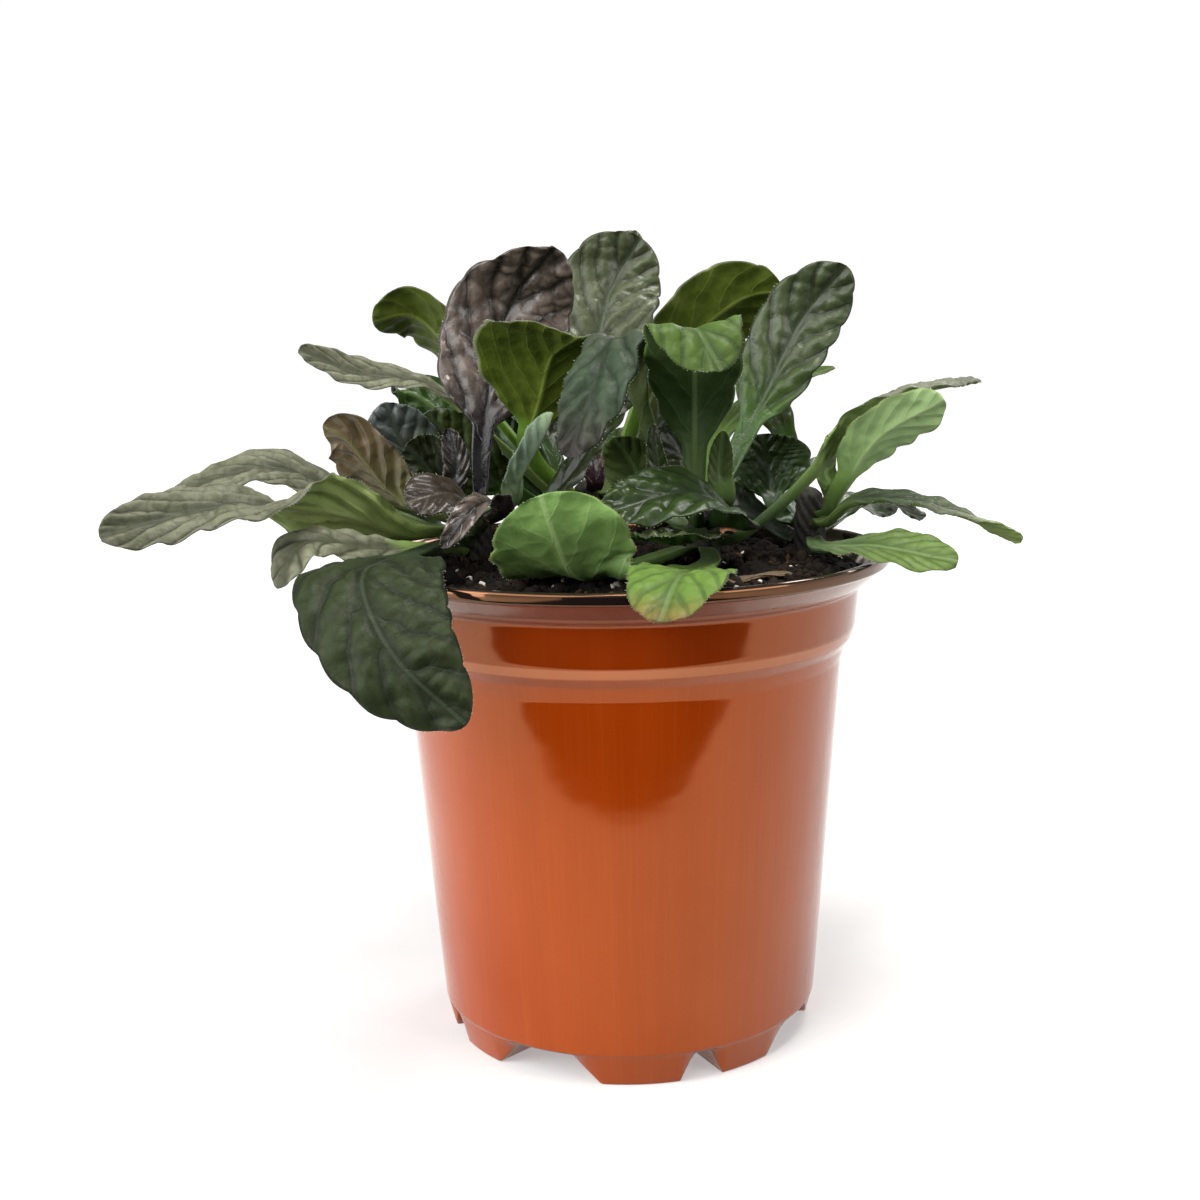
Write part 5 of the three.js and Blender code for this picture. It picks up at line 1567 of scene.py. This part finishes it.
@dataclass
class WitheredStalk:
    """A dry leaf stalk that lies on the soil at the front right."""

    path: tuple[Pair, ...] = ((22, -41), (30, -34), (39, -26))
    half: float = 2.2
    thickness: float = 1.4
    rise: float = 0.9
    taper: tuple[float, ...] = (0.55, 1, 0.9, 0.5)
    groove: float = 0.55
    twist: float = 0.3
    twist_lean: float = 9  # radians over the whole length
    furrows: float = 7
    furrow_depth: float = 0.09  # share of the width
    furrow_sway: float = 3
    furrow_lean: float = 5
    knot_depth: float = 0.05  # share of the width
    knot_lean: float = 61
    rows: int = 70
    around: int = 40

    def build(self, soil: Soil) -> None:
        """Makes the stalk on the soil's surface.

        Args:
            soil: The soil that it lies on.
        """
        curve = Midrib([np.array([x, y, soil.height(np.array(x), np.array(y)) + self.rise])
                        for x, y in self.path])
        at = np.linspace(0, 1, self.rows)
        centre, along = curve.course(at)
        across = np.stack([along[:, 1], -along[:, 0], np.zeros(self.rows)], 1)
        across /= np.linalg.norm(across, axis=1, keepdims=True)
        width = np.interp(at, np.linspace(0, 1, len(self.taper)), self.taper)[:, None]
        turn, at = round_turn(self.around)[None], at[:, None]
        furrows = np.sin(turn * self.furrows + self.furrow_sway * np.sin(at * self.furrow_lean))
        wrinkle = 1 + self.furrow_depth * furrows + self.knot_depth * np.sin(at * self.knot_lean)
        sideways = -self.half * width * np.cos(turn) * wrinkle
        hollow = self.groove * np.maximum(0, np.sin(turn)) ** 2
        rise = self.thickness / 2 * width * (np.sin(turn) - hollow) * wrinkle
        rise = rise + self.twist * np.sin(at * self.twist_lean) * np.cos(turn)
        points = centre[:, None] + across[:, None] * sideways[..., None]
        points[..., 2] += rise
        skin = np.vstack([centre[:1], points.reshape(-1, 3), centre[-1:]])
        values = {"across": np.concatenate([[0], sideways.ravel(), [0]]),
                  "along": np.concatenate([[0], np.repeat(at * curve.length, self.around), [curve.length]])}
        piece = new_piece("dry_stalk", skin, ring_faces(self.rows, self.around), values)
        face_outwards(piece)
        fibre = StalkFibre("leaf stalk, withered", "#2c2117", "#6b5438", "#a08a66")
        piece.data.materials.append(fibre.build())
        finish_piece(piece, "withered_stalk", "withered_stalk")


# Studio


@dataclass(frozen=True)
class SoftBox:
    """A soft lamp that hangs at a place, in metres, and points at another."""

    name: str
    place: Point
    size: Pair
    watts: float
    colour: str = "#ffffff"
    aim: Point = (0.0, 0.0, 0.12)

    def build(self) -> None:
        """Hangs the lamp."""
        data = bpy.data.lights.new(self.name, "AREA")
        data.shape = "RECTANGLE"
        data.size, data.size_y = self.size
        data.energy = self.watts
        data.color = linear(self.colour)[:3]
        lamp = bpy.data.objects.new(self.name, data)
        turn = (Vector(self.aim) - Vector(self.place)).to_track_quat("-Z", "Y").to_matrix().to_4x4()
        lamp.matrix_world = Matrix.Translation(Vector(self.place)) @ turn
        bpy.context.scene.collection.objects.link(lamp)


@dataclass
class Studio:
    """Pale floor and backdrop, soft lights, and the camera of the picture."""

    picture_side: float = 1200  # pixels
    focal_length: float = 1579.73  # in the same pixels
    sensor: float = 36
    camera_place: Point = (9.462, -385.106, 175.093)
    pitch: float = -0.177
    yaw: float = -0.039
    roll: float = -0.021
    cove_radius: float = 2400
    cove_bend: float = 600
    cove_height: float = 1500
    cove_glow: float = 0.85
    floor_glow: float = 0.36
    glow_rise: Pair = (0.3, 1.3)  # metres from the plant between which the one turns into the other
    floor_start: float = 60
    floor_rings: int = 20
    bend_rings: int = 12
    cove_sectors: int = 96
    card_near: float = 178
    card_far: float = 800
    card_half: float = 330
    card_gap: float = 2  # above the floor
    daylight: float = 0.2
    lamps: tuple[SoftBox, ...] = (
        SoftBox("soft_box_above", (0.12, -0.1, 1.0), (0.45, 0.35), 10.0, "#fffdf8"),
        SoftBox("soft_box_left", (-0.6, -0.6, 0.75), (1.1, 0.9), 14.0),
        SoftBox("soft_box_right", (0.75, -0.5, 0.4), (0.5, 0.5), 4.0),
        SoftBox("soft_box_low", (-0.75, -0.3, 0.22), (0.4, 0.5), 4.0),
        SoftBox("soft_box_behind", (0.45, 0.85, 0.8), (0.5, 0.3), 5.0),
    )

    def build_camera(self) -> None:
        """Sets up the camera as the picture was taken."""
        data = bpy.data.cameras.new("camera")
        data.lens = self.sensor * self.focal_length / self.picture_side
        data.sensor_width = self.sensor
        data.clip_start, data.clip_end = 0.01, 20
        level = math.cos(self.pitch)
        forward = Vector((math.sin(self.yaw) * level, math.cos(self.yaw) * level, math.sin(self.pitch)))
        right = forward.cross(Vector((0, 0, 1))).normalized()
        up = right.cross(forward)
        tilted = right * math.cos(self.roll) + up * math.sin(self.roll)
        top = up * math.cos(self.roll) - right * math.sin(self.roll)
        camera = bpy.data.objects.new("camera", data)
        turned = Matrix((tilted, top, -forward)).transposed().to_4x4()
        camera.matrix_world = Matrix.Translation(Vector(self.camera_place) * MM) @ turned
        bpy.context.scene.collection.objects.link(camera)
        bpy.context.scene.camera = camera

    def build_cove(self) -> None:
        """Lays the floor, which curves up all round into a backdrop lit from behind."""
        bend = np.linspace(0, math.pi / 2, self.bend_rings + 1)[1:]
        radii = [*np.geomspace(self.floor_start, self.cove_radius, self.floor_rings),
                 *(self.cove_radius + self.cove_bend * np.sin(bend))]
        heights = [*np.zeros(self.floor_rings), *(self.cove_bend * (1 - np.cos(bend))), self.cove_height]
        turn = round_turn(self.cove_sectors)
        rings = [np.stack([r * np.sin(turn), r * np.cos(turn), np.full(len(turn), z)], 1)
                 for r, z in zip([*radii, radii[-1]], heights)]
        points = np.vstack([[[0, 0, 0]], *rings])
        faces = [f for f in ring_faces(len(rings), len(turn)) if max(f) < len(points)]
        floor = new_piece("studio_floor", points, faces)
        paper = Material("backdrop paper, matt white")
        put = partial(add, paper.tree)
        glow = put(SMOOTH_RAMP, put(LENGTH, put(PLACE)), *self.glow_rise, self.floor_glow, self.cove_glow)
        fibre = put(NOISE, Scale=per_metre(3.3), Detail=2.0)
        paper.set(Base_Color=layered(paper.tree, "#bdbdbc", ("#c6c6c5", fibre, 1)), Roughness=0.8,
                  Specular_IOR_Level=0.2, Emission_Color=linear("#ffffff"), Emission_Strength=glow)
        floor.data.materials.append(paper.made)
        floor.visible_diffuse = False

    def build_card(self) -> None:
        """Puts a folded black card before the plant: only gloss sees it, and it keeps dark tones deep."""
        near, far, half = -self.card_near, -self.card_far, self.card_half
        points = [[-half, near, self.card_gap], [half, near, self.card_gap], [half, far, self.card_gap],
                  [-half, far, self.card_gap], [-half, far, half], [half, far, half]]
        card = new_piece("studio_card", np.array(points, float), [(0, 1, 2, 3), (3, 2, 5, 4)])
        board = Material("card, matt black")
        grain = add(board.tree, NOISE, Scale=per_metre(2.5))
        board.set(Base_Color=layered(board.tree, "#0c0c0c", ("#101010", grain, 1)), Roughness=0.9,
                  Specular_IOR_Level=0.1)
        card.data.materials.append(board.made)
        card.visible_camera = card.visible_diffuse = card.visible_shadow = False

    def build(self) -> None:
        """Sets up the whole studio."""
        self.build_camera()
        self.build_cove()
        self.build_card()
        for lamp in self.lamps:
            lamp.build()
        world = bpy.data.worlds.new("studio")
        bpy.context.scene.world = world
        world.use_nodes = True
        fill(world.node_tree.nodes["Background"], {"Color": linear("#ffffff"), "Strength": self.daylight})
        bpy.context.scene.view_settings.view_transform = "Standard"


def main() -> None:
    """Builds the studio and the plant."""
    logging.basicConfig(level=logging.INFO, format="%(message)s", stream=sys.stdout)
    Studio().build()
    Pot().build()
    soil = Soil()
    soil.build()
    rootstock = StalkFibre("rootstock, corky with old leaf bases", "#100c08", "#231e14", "#333f1e").build()
    for crown in CROWNS.values():
        crown.build(rootstock)
    Foliage().build()
    WitheredStalk().build(soil)


if __name__ == "__main__":
    main()
